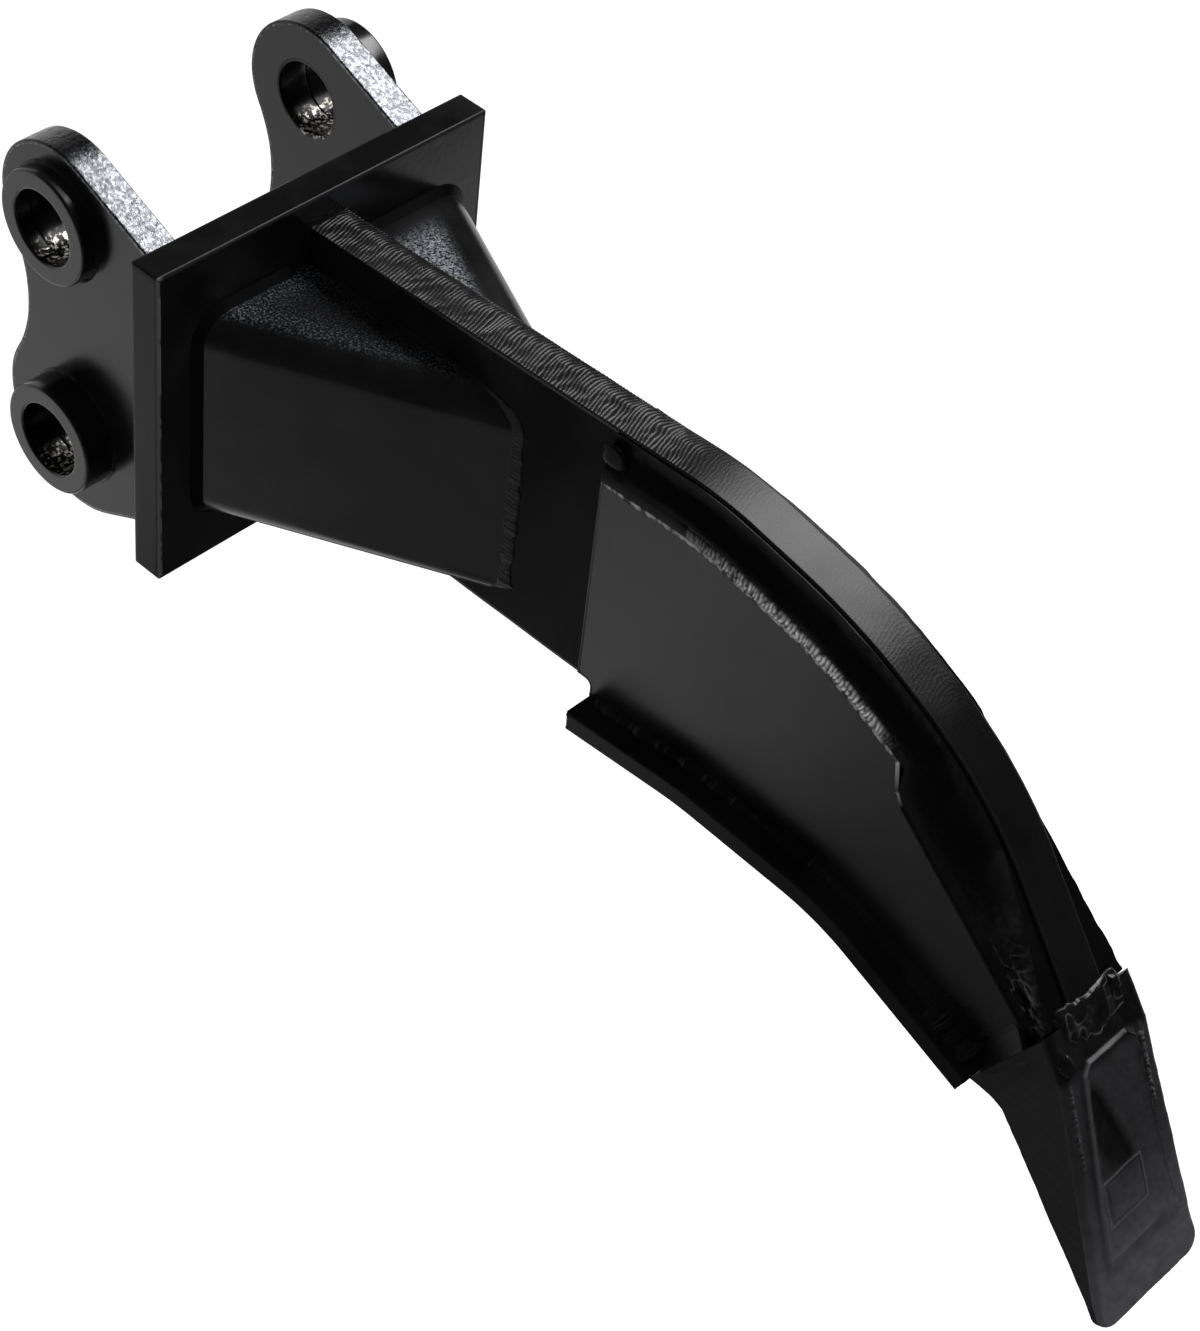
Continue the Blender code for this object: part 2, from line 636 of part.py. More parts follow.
def make_cheek_welds():
    """Broad sloping weld from a cheek's upper edge out to the shank's own upper edge."""
    follow, run = cheek_top_path()
    edge = offset(shank_top_path(), -BROAD_BEAD_MARGIN)
    inner = resampled(follow, CHEEK_WELD_SPACING)
    inner += resampled(run[:2], CHEEK_JOG_SPACING) + resampled(run[1:], CHEEK_WELD_SPACING)[1:]
    pairs = [(point, nearest(edge, point)) for point in inner[:-1]]
    pairs.append((inner[-1], (TOOTH_JOINT_X - SEAT - BROAD_BEAD_MARGIN, TOOTH_JOINT_Z)))
    for side, sign in SIDES:
        bm = bmesh.new()
        rings = []
        for point, outer in pairs:
            nx, nz = unit(outer[0] - point[0], outer[1] - point[1])
            root = (point[0] + nx * SEAT, point[1] + nz * SEAT)
            low = CHEEK_INNER_Y
            high = CHEEK_OUTER_Y
            first = (root[0] + nx * BROAD_BEAD_STEP, root[1] + nz * BROAD_BEAD_STEP)
            middle = ((root[0] + outer[0]) / 2, (root[1] + outer[1]) / 2)
            share = max(0.0, (outer[0] - BUILD_UP_START_X) / (TOOTH_JOINT_X - BUILD_UP_START_X))
            rim = low + BROAD_BEAD_RIM + BUILD_UP * share
            swell = (high + rim) / 2 + BROAD_BEAD_BULGE
            rings.append([(root[0], sign * low, root[1]), (root[0], sign * high, root[1]),
                          (first[0], sign * high, first[1]), (middle[0], sign * swell, middle[1]),
                          (outer[0], sign * rim, outer[1]), (outer[0], sign * low, outer[1])])
        add_rings(bm, rings)
        finish(f"weld_cheek_{side}", bm, MATERIALS["weld_paint"], 40)


def strip_end_x():
    return joint_point(SHANK_END_HEIGHT)[0] - STRIP_END_GAP


def make_wear_strip():
    low_edge = offset(between_x(shank_low_path(), STRIP_BACK_X, strip_end_x()), -SEAT)
    outer = offset(low_edge, -STRIP_THICKNESS)
    outline = low_edge + list(reversed(outer))
    strip = plate_solid("wear_strip", outline, -STRIP_WIDTH / 2, STRIP_WIDTH / 2, MATERIALS["strip_paint"], 20)
    ease(strip, SHANK_EASE)


def make_strip_welds():
    """Fillets between the cheeks and the strip's upper face, thickest by the tooth."""
    path = resampled(between_x(shank_low_path(), STRIP_BACK_X + CHEEK_NOTCH * 0.5,
                               strip_end_x() - STRIP_BEAD_END), STRIP_WELD_SPACING)
    facing = normals(path)
    for side, sign in SIDES:
        bm = bmesh.new()
        corners = [(x, sign * CHEEK_OUTER_Y, z - SEAT) for x, z in path]
        along_b = [(nx, 0.0, nz) for nx, nz in facing]
        legs = []
        for i in range(len(path)):
            walked = i / (len(path) - 1)
            share = max(0.0, (walked - STRIP_BEAD_SWELL_SHARE) / (1.0 - STRIP_BEAD_SWELL_SHARE))
            leg = STRIP_BEAD + (STRIP_BEAD_END - STRIP_BEAD) * share
            legs.append((leg, leg))
        add_bead(bm, corners, [(0.0, sign, 0.0)] * len(path), along_b, legs)
        finish(f"weld_strip_{side}", bm, MATERIALS["weld_paint"], 40)


def tooth_sections():
    """Front and back points in the XZ plane, with half widths, from the joint to the tip."""
    joint_top = (TOOTH_JOINT_X + SEAT, TOOTH_JOINT_Z)
    joint_back = joint_point(TOOTH_BACK_REACH)
    joint_back = (joint_back[0] + SEAT, joint_back[1])
    front = (TOOTH_FRONT_X, TOOTH_FRONT_Z)
    tip = (TOOTH_TIP_X, TOOTH_TIP_Z)
    dx, dz = unit(tip[0] - front[0], tip[1] - front[1])
    tip_back = (tip[0] + dz * TOOTH_TIP_THICKNESS, tip[1] - dx * TOOTH_TIP_THICKNESS)
    front_length = math.dist(front, tip)
    shares = [0.0, 0.25, 0.5, 0.75]
    for i in range(5):
        angle = math.radians(90.0 * i / 4)
        shares.append(1.0 - TOOTH_TIP_CORNER * (1.0 - math.sin(angle)) / front_length)
    bx, bz = unit(tip_back[0] - joint_back[0], tip_back[1] - joint_back[1])
    scallop = math.dist(tip_back, joint_back) * TOOTH_SCALLOP_SHARE
    back_start = (joint_back[0] + bx * scallop - bz * TOOTH_SCALLOP,
                  joint_back[1] + bz * scallop + bx * TOOTH_SCALLOP)
    neck_half = TOOTH_NECK_WIDTH / 2
    sections = [(joint_top, joint_back, neck_half, CHEEK_OUTER_Y)]
    shoulder = ((joint_top[0] + front[0]) / 2, (joint_top[1] + front[1]) / 2)
    dip = (joint_back[0] + bx * scallop / 2 - bz * TOOTH_SCALLOP * 2 / 3,
           joint_back[1] + bz * scallop / 2 + bx * TOOTH_SCALLOP * 2 / 3)
    sections.append((shoulder, dip, (neck_half + TOOTH_FRONT_WIDTH / 2) / 2, CHEEK_OUTER_Y))
    for share in shares:
        front_point = (front[0] + (tip[0] - front[0]) * share, front[1] + (tip[1] - front[1]) * share)
        back_point = (back_start[0] + (tip_back[0] - back_start[0]) * share,
                      back_start[1] + (tip_back[1] - back_start[1]) * share)
        front_half = (TOOTH_FRONT_WIDTH + (TOOTH_TIP_WIDTH - TOOTH_FRONT_WIDTH) * share) / 2
        back_half = CHEEK_OUTER_Y + (TOOTH_TIP_WIDTH / 2 - CHEEK_OUTER_Y) * share
        left = (1.0 - share) * front_length
        if left < TOOTH_TIP_CORNER:
            into = TOOTH_TIP_CORNER - left
            cut = TOOTH_TIP_CORNER - math.sqrt(max(0.0, TOOTH_TIP_CORNER ** 2 - into ** 2))
            front_half -= cut
            back_half -= cut
        sections.append((front_point, back_point, front_half, back_half))
    return sections


def tooth_ring(front, back, front_half, back_half):
    """One section of the tooth, with its long edges chamfered."""
    dx, dz = unit(back[0] - front[0], back[1] - front[1])
    depth = math.dist(front, back)
    cut = min(TOOTH_CHAMFER, depth * 0.3)
    ring = []
    for half, at in ((front_half - cut, 0.0), (front_half, cut), (back_half, depth - cut),
                     (back_half - cut, depth)):
        ring.append((front[0] + dx * at, half, front[1] + dz * at))
    mirrored = [(x, -y, z) for x, y, z in reversed(ring)]
    return ring + mirrored


def tooth_pad():
    """Raised pad on the tooth's front, with its upper corners cut."""
    front = Vector((TOOTH_FRONT_X, 0.0, TOOTH_FRONT_Z))
    tip = Vector((TOOTH_TIP_X, 0.0, TOOTH_TIP_Z))
    down = (tip - front).normalized()
    out = Vector((-down.z, 0.0, down.x))
    top, low = PAD_TOP_WIDTH / 2, PAD_LOW_WIDTH / 2
    outline = ((0.0, -top + PAD_CORNER), (0.0, top - PAD_CORNER), (PAD_CORNER * 1.6, top + PAD_CORNER * 0.5),
               (PAD_LENGTH, low), (PAD_LENGTH, -low), (PAD_CORNER * 1.6, -top - PAD_CORNER * 0.5))
    bm = bmesh.new()
    rings = []
    for height, inset in ((-TOOTH_CHAMFER, 0.0), (PAD_RELIEF * 0.4, 0.0), (PAD_RELIEF, PAD_RELIEF * 0.6)):
        ring = []
        for along, across in outline:
            across -= math.copysign(inset, across)
            along = along + inset if along < PAD_LENGTH / 2 else along - inset
            ring.append(tuple(front + down * along + out * height + Vector((0.0, across, 0.0))))
        rings.append(ring)
    add_rings(bm, rings)
    return finish("join_tooth_pad", bm, MATERIALS["tooth_paint"])


def make_tooth():
    bm = bmesh.new()
    add_rings(bm, [tooth_ring(*section) for section in tooth_sections()])
    tooth = finish("tooth", bm, MATERIALS["tooth_paint"], 35)
    apply_boolean(tooth, tooth_pad(), "UNION")


def make_tooth_weld():
    """Bead across the top of the joint, over the shank's end and the tooth's shoulder."""
    path = shank_top_path()
    joint = Vector((TOOTH_JOINT_X, 0.0, TOOTH_JOINT_Z))
    up_shank = Vector((path[-2][0] - path[-1][0], 0.0, path[-2][1] - path[-1][1])).normalized()
    down_tooth = Vector((TOOTH_SHOULDER_RUN, 0.0, -TOOTH_SHOULDER_DROP)).normalized()
    off_shank = Vector((up_shank.z, 0.0, -up_shank.x))
    off_tooth = Vector((-down_tooth.z, 0.0, down_tooth.x))
    out = (off_shank + off_tooth).normalized()
    lift = SEAT * 2
    section = (joint + up_shank * TOOTH_BEAD + off_shank * lift, joint + out * lift,
               joint + down_tooth * TOOTH_BEAD + off_tooth * lift,
               joint + down_tooth * TOOTH_BEAD * 0.6 + out * (lift + TOOTH_BEAD_RISE),
               joint + up_shank * TOOTH_BEAD * 0.6 + out * (lift + TOOTH_BEAD_RISE))
    bm = bmesh.new()
    add_rings(bm, [[(point.x, y, point.z) for point in section] for y in (-HALF_SHANK, HALF_SHANK)])
    finish("weld_tooth", bm, MATERIALS["weld_paint"], 40)


clear_scene()
MATERIALS = {
    "plate_paint": paint("plate_paint", (0.012, 0.012, 0.013), 0.28),
    "collar_paint": paint("collar_paint", (0.014, 0.014, 0.015), 0.30),
    "bore_steel": paint("bore_steel", (0.35, 0.35, 0.36), 0.35, 1.0),
    "shank_paint": paint("shank_paint", (0.013, 0.013, 0.014), 0.32),
    "box_paint": paint("box_paint", (0.012, 0.012, 0.013), 0.26),
    "cheek_paint": paint("cheek_paint", (0.018, 0.018, 0.020), 0.34),
    "strip_paint": paint("strip_paint", (0.013, 0.013, 0.014), 0.34),
    "tooth_paint": paint("tooth_paint", (0.016, 0.016, 0.018), 0.38),
    "weld_paint": paint("weld_paint", (0.012, 0.012, 0.013), 0.30),
}
make_base_plate()
make_ears()
make_collars()
make_ear_welds()
make_shank()
make_side_boxes()
make_box_welds()
make_shank_welds()
make_cheeks()
make_cheek_welds()
make_wear_strip()
make_strip_welds()
make_tooth()
make_tooth_weld()
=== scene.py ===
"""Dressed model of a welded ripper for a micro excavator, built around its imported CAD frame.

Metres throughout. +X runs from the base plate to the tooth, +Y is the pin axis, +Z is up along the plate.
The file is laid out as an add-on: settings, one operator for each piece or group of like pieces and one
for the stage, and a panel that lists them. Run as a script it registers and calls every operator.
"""
import math

import bmesh
import bpy
import numpy as np
from mathutils import Matrix, Vector, geometry


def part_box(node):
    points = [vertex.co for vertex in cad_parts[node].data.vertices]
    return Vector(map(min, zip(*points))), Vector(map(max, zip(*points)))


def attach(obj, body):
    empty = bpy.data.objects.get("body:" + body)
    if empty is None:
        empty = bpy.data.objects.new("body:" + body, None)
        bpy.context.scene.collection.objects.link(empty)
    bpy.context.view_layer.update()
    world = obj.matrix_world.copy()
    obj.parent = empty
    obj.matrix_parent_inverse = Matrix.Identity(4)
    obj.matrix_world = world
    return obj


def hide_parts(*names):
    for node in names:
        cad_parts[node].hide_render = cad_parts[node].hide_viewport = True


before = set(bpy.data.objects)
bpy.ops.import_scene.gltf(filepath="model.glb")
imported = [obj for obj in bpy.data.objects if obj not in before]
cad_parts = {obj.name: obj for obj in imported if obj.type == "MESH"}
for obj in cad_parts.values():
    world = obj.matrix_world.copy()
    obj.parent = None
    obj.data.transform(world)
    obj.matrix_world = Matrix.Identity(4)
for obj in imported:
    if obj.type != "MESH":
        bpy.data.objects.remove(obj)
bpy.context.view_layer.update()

bl_info = {
    "name": "Ripper shank tooth",
    "version": (1, 0, 0),
    "blender": (4, 5, 0),
    "location": "3D View > Sidebar > Ripper",
    "description": "Builds the plates, welds and tooth of a welded ripper around its CAD frame",
    "category": "Object",
}

# Sizes that the solids have too
SEAT = 0.0003
BORE_RADIUS = 0.013
LINK_PIN = (-0.006, 0.080)
STICK_PIN = (0.0, 0.0)
PLATE_BACK_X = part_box("base_plate")[0].x
PLATE_FRONT_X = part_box("base_plate")[1].x
PLATE_LOW_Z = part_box("base_plate")[0].z
PLATE_TOP_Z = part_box("base_plate")[1].z
PLATE_HALF_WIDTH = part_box("base_plate")[1].y
EAR_INNER_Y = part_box("ear_left")[0].y
EAR_OUTER_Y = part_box("ear_left")[1].y
LINK_LOBE_RADIUS = 0.0273
STICK_LOBE_RADIUS = 0.0330
WAIST_RADIUS = 0.050
EAR_TOP_SLOPE = 22.5
EAR_BOTTOM_SLOPE = 26.7
COLLAR_RADIUS = 0.020
HALF_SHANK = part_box("shank")[1].y
SHANK_BACK_X = PLATE_FRONT_X + SEAT
SHANK_TOP_AT_PLATE = 0.0886
SHANK_LOW_AT_PLATE = -0.0105
SHANK_TOP_CORNERS = ((0.2283, 0.0938), (0.2813, 0.0830), (0.3342, 0.0570))
SHANK_TOP_RADII = (0.120, 0.170, 0.130)
SHANK_LOW_CORNERS = ((0.190, -0.0108), (0.240, -0.0076), (0.300, -0.0115))
SHANK_LOW_RADII = (0.200, 0.120, 0.090)
JOINT = (0.380, -0.0025)
JOINT_LEAN = math.radians(26.9)
SHANK_END_HEIGHT = 0.040
BOX_SHEET = 0.005
BOX_BEND_RADIUS = 0.010
BOX_TOP_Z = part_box("side_box_right")[1].z
BOX_LOW_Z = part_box("side_box_right")[0].z
BOXES = (("right", -1.0, 0.0548, 0.1480), ("left", 1.0, 0.0604, 0.1640))
CHEEK_INNER_Y = HALF_SHANK + SEAT
CHEEK_OUTER_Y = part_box("cheek_left")[1].y
CHEEK_BACK_X = 0.1874
CHEEK_DROP = 0.0173
CHEEK_JOG_X = 0.3103
CHEEK_JOG_DEPTH = 0.0095
CHEEK_JOG_RUN = 0.0030
CHEEK_END_DROP = 0.0164
CHEEK_NOTCH = 0.0060
CHEEK_NOTCH_RADIUS = 0.0024
STRIP_HALF_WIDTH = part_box("wear_strip")[1].y
STRIP_THICKNESS = 0.0075
STRIP_BACK_X = 0.1933
STRIP_END_GAP = 0.0009
SHOULDER = (0.0100, 0.0135)
TIP = (0.0478, 0.0930)
TIP_THICKNESS = 0.0030
TIP_HALF_WIDTH = 0.0250
TIP_CORNER = 0.006
FRONT_HALF_WIDTH = 0.0205
NECK_HALF_WIDTH = 0.020
BACK_REACH = 0.0540
SCALLOP = 0.0050
SCALLOP_SHARE = 0.15
PAD_HALF_TOP = 0.0128
PAD_HALF_LOW = 0.0179
PAD_LENGTH = 0.072
PAD_RELIEF = 0.0012

# Spacing of points, and the random table of the swells with the primes that scatter cells over it
ARC_CHORD = 0.0008
EDGE_LAND = 0.0008
RIM_SPACING = 0.0006
BEAD_SINK = 0.0002
SWELL_VALUES = 8192
SWELL_PRIMES = (7919, 3571)

# Sizes of the dressing alone
PLATE_CORNER = 0.0008
EAR_EDGE = 0.0006
EAR_LINE_PITCH = 0.0013
COLLAR_EDGE = 0.0009
COLLAR_BEAD_LEG = 0.0013
COLLAR_BEAD_CRESCENTS = 80
EAR_BEAD_LEG = 0.0048
BOX_PLATE_BEAD_LEG = 0.0036
BOX_SHANK_BEAD_LEG = 0.0013
ROOT_BEAD_LEGS = (0.0013, 0.0012)
SHANK_EDGE = 0.0006
SHANK_LINES_X = (0.196, 0.222)
CHEEK_EDGE = 0.0005
STACK_WIDTH = 0.0040
STACK_PITCH = 0.0014
RISE_X = 0.345
RISE_HEIGHT = 0.0090
BURR_HEIGHT = 0.0007
CHEEK_LUMP = ((0.1900, -0.0112, 0.0848), (0.0052, 0.0011, 0.0046), 87)
STRIP_EDGE = 0.0008
STRIP_BEAD_LEG = 0.0024
STRIP_BEAD_GROWTH = 0.0044
TOOTH_EDGE = 0.0025
JOINT_WELD_HALF = 0.0172
JOINT_WELD_UP = 0.0036
JOINT_WELD_DOWN = 0.0092
SEAM_HALF_WIDTH = 0.0085
FLOOR_Z = -0.40
CARD_Z = -0.39

# Lamp and camera
LAMP_SIZE = (0.72, 0.50)
LAMP_TOWARD = (0.06, 0.56, 0.82)
LAMP_AIM = (0.09, 0.0, 0.02)
LAMP_DISTANCE = 1.2
CAMERA_PLACE = (0.62895, -0.56124, 0.6870)
CAMERA_ANGLES = (38.2896, 44.3258, 7.4654)
CAMERA_LENS = 94.39
CAMERA_SENSOR = 36

SIDES = (("right", -1.0), ("left", 1.0))


def linear(code):
    """An sRGB hex colour as linear red, green and blue."""
    parts = [int(code[i:i + 2], 16) / 255 for i in (1, 3, 5)]
    return tuple(c / 12.92 if c <= 0.04045 else ((c + 0.055) / 1.055) ** 2.4 for c in parts)


def size_of(name, description, default, low, high):
    """A length that a user can change, in metres."""
    return bpy.props.FloatProperty(name=name, description=description, default=default, min=low, max=high,
                                   precision=5, unit="LENGTH")


def colour_of(name, description, code):
    """A colour that a user can change."""
    return bpy.props.FloatVectorProperty(name=name, description=description, default=linear(code), min=0,
                                         max=1, size=3, subtype="COLOR")


class RipperSettings(bpy.types.PropertyGroup):
    """Sizes and colours of the dressing that a user can change before building."""
    coat: colour_of("Coat", "Colour of the enamel", "#0b0b0c")
    worn: colour_of("Worn coat", "Colour of the enamel where it is thin", "#151516")
    drag_pitch: size_of("Drag line pitch", "Distance between the cutting flame's lines on the shank",
                        0.0014, 0.0006, 0.004)
    drag_depth: size_of("Drag line depth", "Height of the flame's ridges on the shank's edge",
                        0.00024, 0, 0.001)
    bead_pitch: size_of("Bead pitch", "Distance between the crescents of the weld beads",
                        0.0016, 0.0008, 0.004)
    peel: size_of("Orange peel", "Width of the sprayed coat's cells", 0.0022, 0.0005, 0.01)
    plate_ease: size_of("Plate edge radius", "Radius that the base plate's edges are eased to",
                        0.0007, 0.0002, 0.002)
    lamp_power: bpy.props.FloatProperty(
        name="Softbox power", description="Power of the softbox above the part", default=17.0, min=0,
        max=200, unit="POWER")


def settings():
    """The settings of the present scene."""
    return bpy.context.scene.ripper


# Paths in a plane, as arrays of points

def unit(vectors):
    """Each row divided by its length."""
    return vectors / np.maximum(np.linalg.norm(vectors, axis=-1, keepdims=True), 1e-12)


def arc(center, radius, start, end, step=3.0):
    """Centre plus radius times (cosine, sine) of even angles from start to end, in degrees."""
    angles = np.radians(np.linspace(start, end, max(4, math.ceil(abs(end - start) / step)) + 1))
    return np.array(center) + radius * np.stack([np.cos(angles), np.sin(angles)], 1)


def rounded(corners, radii):
    """A polyline whose inner corners are replaced by tangent arcs of the given radii."""
    corners = np.array(corners, float)
    parts = [corners[:1]]
    for before, corner, after, radius in zip(corners, corners[1:], corners[2:], radii):
        a, b = unit(before - corner), unit(after - corner)
        half = math.acos(np.clip(a @ b, -1, 1)) / 2
        center = corner + unit(a + b) * radius / math.sin(half)
        first, last = corner + a * radius / math.tan(half), corner + b * radius / math.tan(half)
        start = math.degrees(math.atan2(*(first - center)[::-1]))
        turn = (math.degrees(math.atan2(*(last - center)[::-1])) - start + 180) % 360 - 180
        step = min(7.5, math.degrees(ARC_CHORD / radius))
        parts.append(arc(center, radius, start, start + turn, step))
    return np.vstack([*parts, corners[-1:]])


def lengths(path):
    """Distance walked along a path at each of its points."""
    return np.concatenate([[0], np.cumsum(np.linalg.norm(np.diff(path, axis=0), axis=1))])


def even(path, spacing):
    """The same path with points one spacing apart, by interpolation over the distance walked."""
    path = np.array(path, float)
    walked = lengths(path)
    at = np.linspace(0, walked[-1], max(2, round(walked[-1] / spacing)) + 1)
    return np.stack([np.interp(at, walked, column) for column in path.T], 1)


def left_normals(path):
    """Unit vectors square to the path, on its left."""
    step = unit(np.gradient(path, axis=0))
    return np.stack([-step[:, 1], step[:, 0]], 1)


def offset(path, distance):
    """The path moved by a distance along its left normals."""
    return path + left_normals(path) * distance


def between_x(path, low, high):
    """The stretch of a path between two X values."""
    inner = path[(path[:, 0] > low + 1e-6) & (path[:, 0] < high - 1e-6)]
    ends = [[x, np.interp(x, path[:, 0], path[:, 1])] for x in (low, high)]
    return np.vstack([ends[:1], inner, ends[1:]])


def joint_point(distance):
    """A point down the joint between shank and tooth, measured from its upper end."""
    return np.array([JOINT[0] - distance * math.sin(JOINT_LEAN), JOINT[1] - distance * math.cos(JOINT_LEAN)])


def shank_top():
    """The shank's upper edge: straight runs joined by tangent arcs."""
    start = (SHANK_BACK_X, SHANK_TOP_AT_PLATE)
    return even(rounded([start, *SHANK_TOP_CORNERS, JOINT], SHANK_TOP_RADII), 0.0005)


def shank_low():
    """The shank's lower edge: straight runs joined by tangent arcs."""
    start = (SHANK_BACK_X, SHANK_LOW_AT_PLATE)
    return even(rounded([start, *SHANK_LOW_CORNERS, joint_point(SHANK_END_HEIGHT)], SHANK_LOW_RADII), 0.001)


def cheek_top():
    """Upper edge of a cheek: parallel to the shank's, then the jog, then straight to the tooth."""
    follow = between_x(even(offset(shank_top(), -CHEEK_DROP), 0.001), CHEEK_BACK_X, CHEEK_JOG_X)
    jog = follow[-1] + (0, -CHEEK_JOG_DEPTH)
    turn = jog + (CHEEK_JOG_RUN, -CHEEK_JOG_DEPTH / 2)
    end = joint_point(CHEEK_END_DROP) - (SEAT, 0)
    return follow, np.vstack([jog, turn, end])


def ear_outline():
    """Two lobes joined by a waist arc, with straight edges tangent to the lobes down to the plate."""
    link, stick = np.array(LINK_PIN), np.array(STICK_PIN)
    back = PLATE_BACK_X - SEAT
    reach_a, reach_b = LINK_LOBE_RADIUS + WAIST_RADIUS, STICK_LOBE_RADIUS + WAIST_RADIUS
    span = np.linalg.norm(stick - link)
    along = (reach_a ** 2 - reach_b ** 2 + span ** 2) / (2 * span)
    away = math.sqrt(reach_a ** 2 - along ** 2)
    ux, uz = unit(stick - link)
    waist = link + (ux * along + uz * away, uz * along - ux * away)
    to_link = math.degrees(math.atan2(*(waist - link)[::-1])) % 360
    to_stick = math.degrees(math.atan2(*(waist - stick)[::-1])) % 360
    upper = arc(link, LINK_LOBE_RADIUS, 90 - EAR_TOP_SLOPE, to_link)
    middle = arc(waist, WAIST_RADIUS, to_link - 180, to_stick - 180)
    lower = arc(stick, STICK_LOBE_RADIUS, to_stick, 270 + EAR_BOTTOM_SLOPE)
    top_z = upper[0, 1] - (back - upper[0, 0]) * math.tan(math.radians(EAR_TOP_SLOPE))
    low_z = lower[-1, 1] + (back - lower[-1, 0]) * math.tan(math.radians(EAR_BOTTOM_SLOPE))
    rim = np.vstack([[(back, top_z)], upper, middle[1:-1], lower, [(back, low_z)]])
    return np.vstack([even(rim, RIM_SPACING), even([(back, low_z), (back, top_z)], 0.002)[1:-1]])


# Surfaces

def swell(u, v, cell, seed):
    """Smooth random relief from -1 to 1: random values at whole cells of (u, v), eased between them."""
    table = np.random.default_rng(seed).uniform(-1, 1, SWELL_VALUES)
    u, v = np.broadcast_arrays(np.asarray(u) / cell, np.asarray(v) / cell)
    i, j = np.floor(u).astype(int), np.floor(v).astype(int)
    fu, fv = ease(u - i, 0, 1), ease(v - j, 0, 1)

    def at(a, b):
        return table[(a * SWELL_PRIMES[0] + b * SWELL_PRIMES[1]) % SWELL_VALUES]
    low = at(i, j) * (1 - fu) + at(i + 1, j) * fu
    high = at(i, j + 1) * (1 - fu) + at(i + 1, j + 1) * fu
    return low * (1 - fv) + high * fv


def ease(value, low, high):
    """0 below low, 1 above high, and 3t^2 - 2t^3 between them."""
    t = np.clip((value - low) / (high - low), 0, 1)
    return t * t * (3 - 2 * t)


def fade(value, low, high):
    """1 below low and 0 above high: the reverse of ease."""
    return 1 - ease(value, low, high)


def bell(value, center, width):
    """1 at the centre, falling to both sides by exp(-(distance / width)^2)."""
    return np.exp(-((value - center) / width) ** 2)


class Skin:
    """Grids of points gathered into one closed mesh, each point with a crest value from 0 to 1."""

    def __init__(self):
        self.points, self.faces, self.slots, self.crests = [], [], [], []
        self.count = 0

    def grid(self, points, slot=0, wrap=False, crest=0.0):
        """Quads between neighbours of a rows by columns grid; wrap joins the last column to the first."""
        rows, columns = points.shape[:2]
        ids = self.count + np.arange(rows * columns).reshape(rows, columns)
        if wrap:
            ids = np.hstack([ids, ids[:, :1]])
        quads = np.stack([ids[:-1, :-1], ids[1:, :-1], ids[1:, 1:], ids[:-1, 1:]], -1).reshape(-1, 4)
        slots = np.broadcast_to(slot, (rows - 1, ids.shape[1] - 1)).ravel()
        crests = np.broadcast_to(crest, (rows, columns)).ravel()
        self.add(points.reshape(-1, 3), quads.tolist(), slots, crests)

    def fan(self, ring):
        """Triangles from a ring's mean point to its edges."""
        n = len(ring)
        ids = self.count + np.arange(n)
        tris = np.stack([ids, np.roll(ids, -1), np.full(n, self.count + n)], 1)
        self.add(np.vstack([ring, ring.mean(0)]), tris.tolist(), 0, np.zeros(n + 1))

    def add(self, points, faces, slot, crest):
        self.points.append(points)
        self.faces += faces
        self.slots += np.broadcast_to(slot, len(faces)).tolist()
        self.crests.append(crest)
        self.count += len(points)

    def done(self, name, finishes, smooth=35.0, merge=2e-6):
        """The mesh object, with doubles merged, normals outwards and the sharp edges kept."""
        mesh = bpy.data.meshes.new(name)
        mesh.from_pydata(np.vstack(self.points), [], self.faces)
        mesh.polygons.foreach_set("material_index", np.array(self.slots, np.int32))
        crest = mesh.attributes.new("crest", "FLOAT", "POINT")
        crest.data.foreach_set("value", np.concatenate(self.crests).astype(np.float32))
        bm = bmesh.new()
        bm.from_mesh(mesh)
        bmesh.ops.remove_doubles(bm, verts=bm.verts, dist=merge)
        bmesh.ops.dissolve_degenerate(bm, edges=bm.edges, dist=merge)
        bmesh.ops.recalc_face_normals(bm, faces=bm.faces)
        bm.to_mesh(mesh)
        bm.free()
        mesh.shade_smooth()
        mesh.set_sharp_from_angle(angle=math.radians(smooth))
        for finish in finishes:
            mesh.materials.append(finish_of(finish))
        obj = bpy.data.objects.new(name, mesh)
        bpy.context.scene.collection.objects.link(obj)
        return obj

    def piece(self, node, finishes, smooth=35.0):
        """The finished object, riding with the part in place of a node of the frame."""
        obj = self.done(node + "_dressed", finishes, smooth)
        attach(obj, "root")
        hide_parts(node)


def mitres(loop):
    """For each point of a closed loop, the vector to its right whose dot with both edge normals is 1."""
    before, after = unit(loop - np.roll(loop, 1, 0)), unit(np.roll(loop, -1, 0) - loop)
    n0 = np.stack([before[:, 1], -before[:, 0]], 1)
    n1 = np.stack([after[:, 1], -after[:, 0]], 1)
    middle = n0 + n1
    middle /= np.maximum(np.sum(middle * n0, 1, keepdims=True), 0.5)
    return middle


def rubbed_and_lit_bore(turn):
    """1 low in a bore, a little towards +X, where the pin rubs the enamel off and where light enters, so the
    pale steel there is partly a painted highlight; 0 over the rest of its wall.
    """
    return ease(0.30 * np.cos(turn) - 0.95 * np.sin(turn), 0.50, 0.92)


def signed_area(loop):
    """Half the sum of the cross products of neighbours: above 0 when the loop turns left."""
    return np.sum(loop[:, 0] * np.roll(loop[:, 1], -1) - np.roll(loop[:, 0], -1) * loop[:, 1]) / 2


def in_xz(x, z, depth):
    """Points of the XZ plane at a depth in Y."""
    return np.stack(np.broadcast_arrays(x, depth, z), -1)


def in_yz(y, z, depth):
    """Points of the YZ plane at a depth in X."""
    return np.stack(np.broadcast_arrays(depth, y, z), -1)


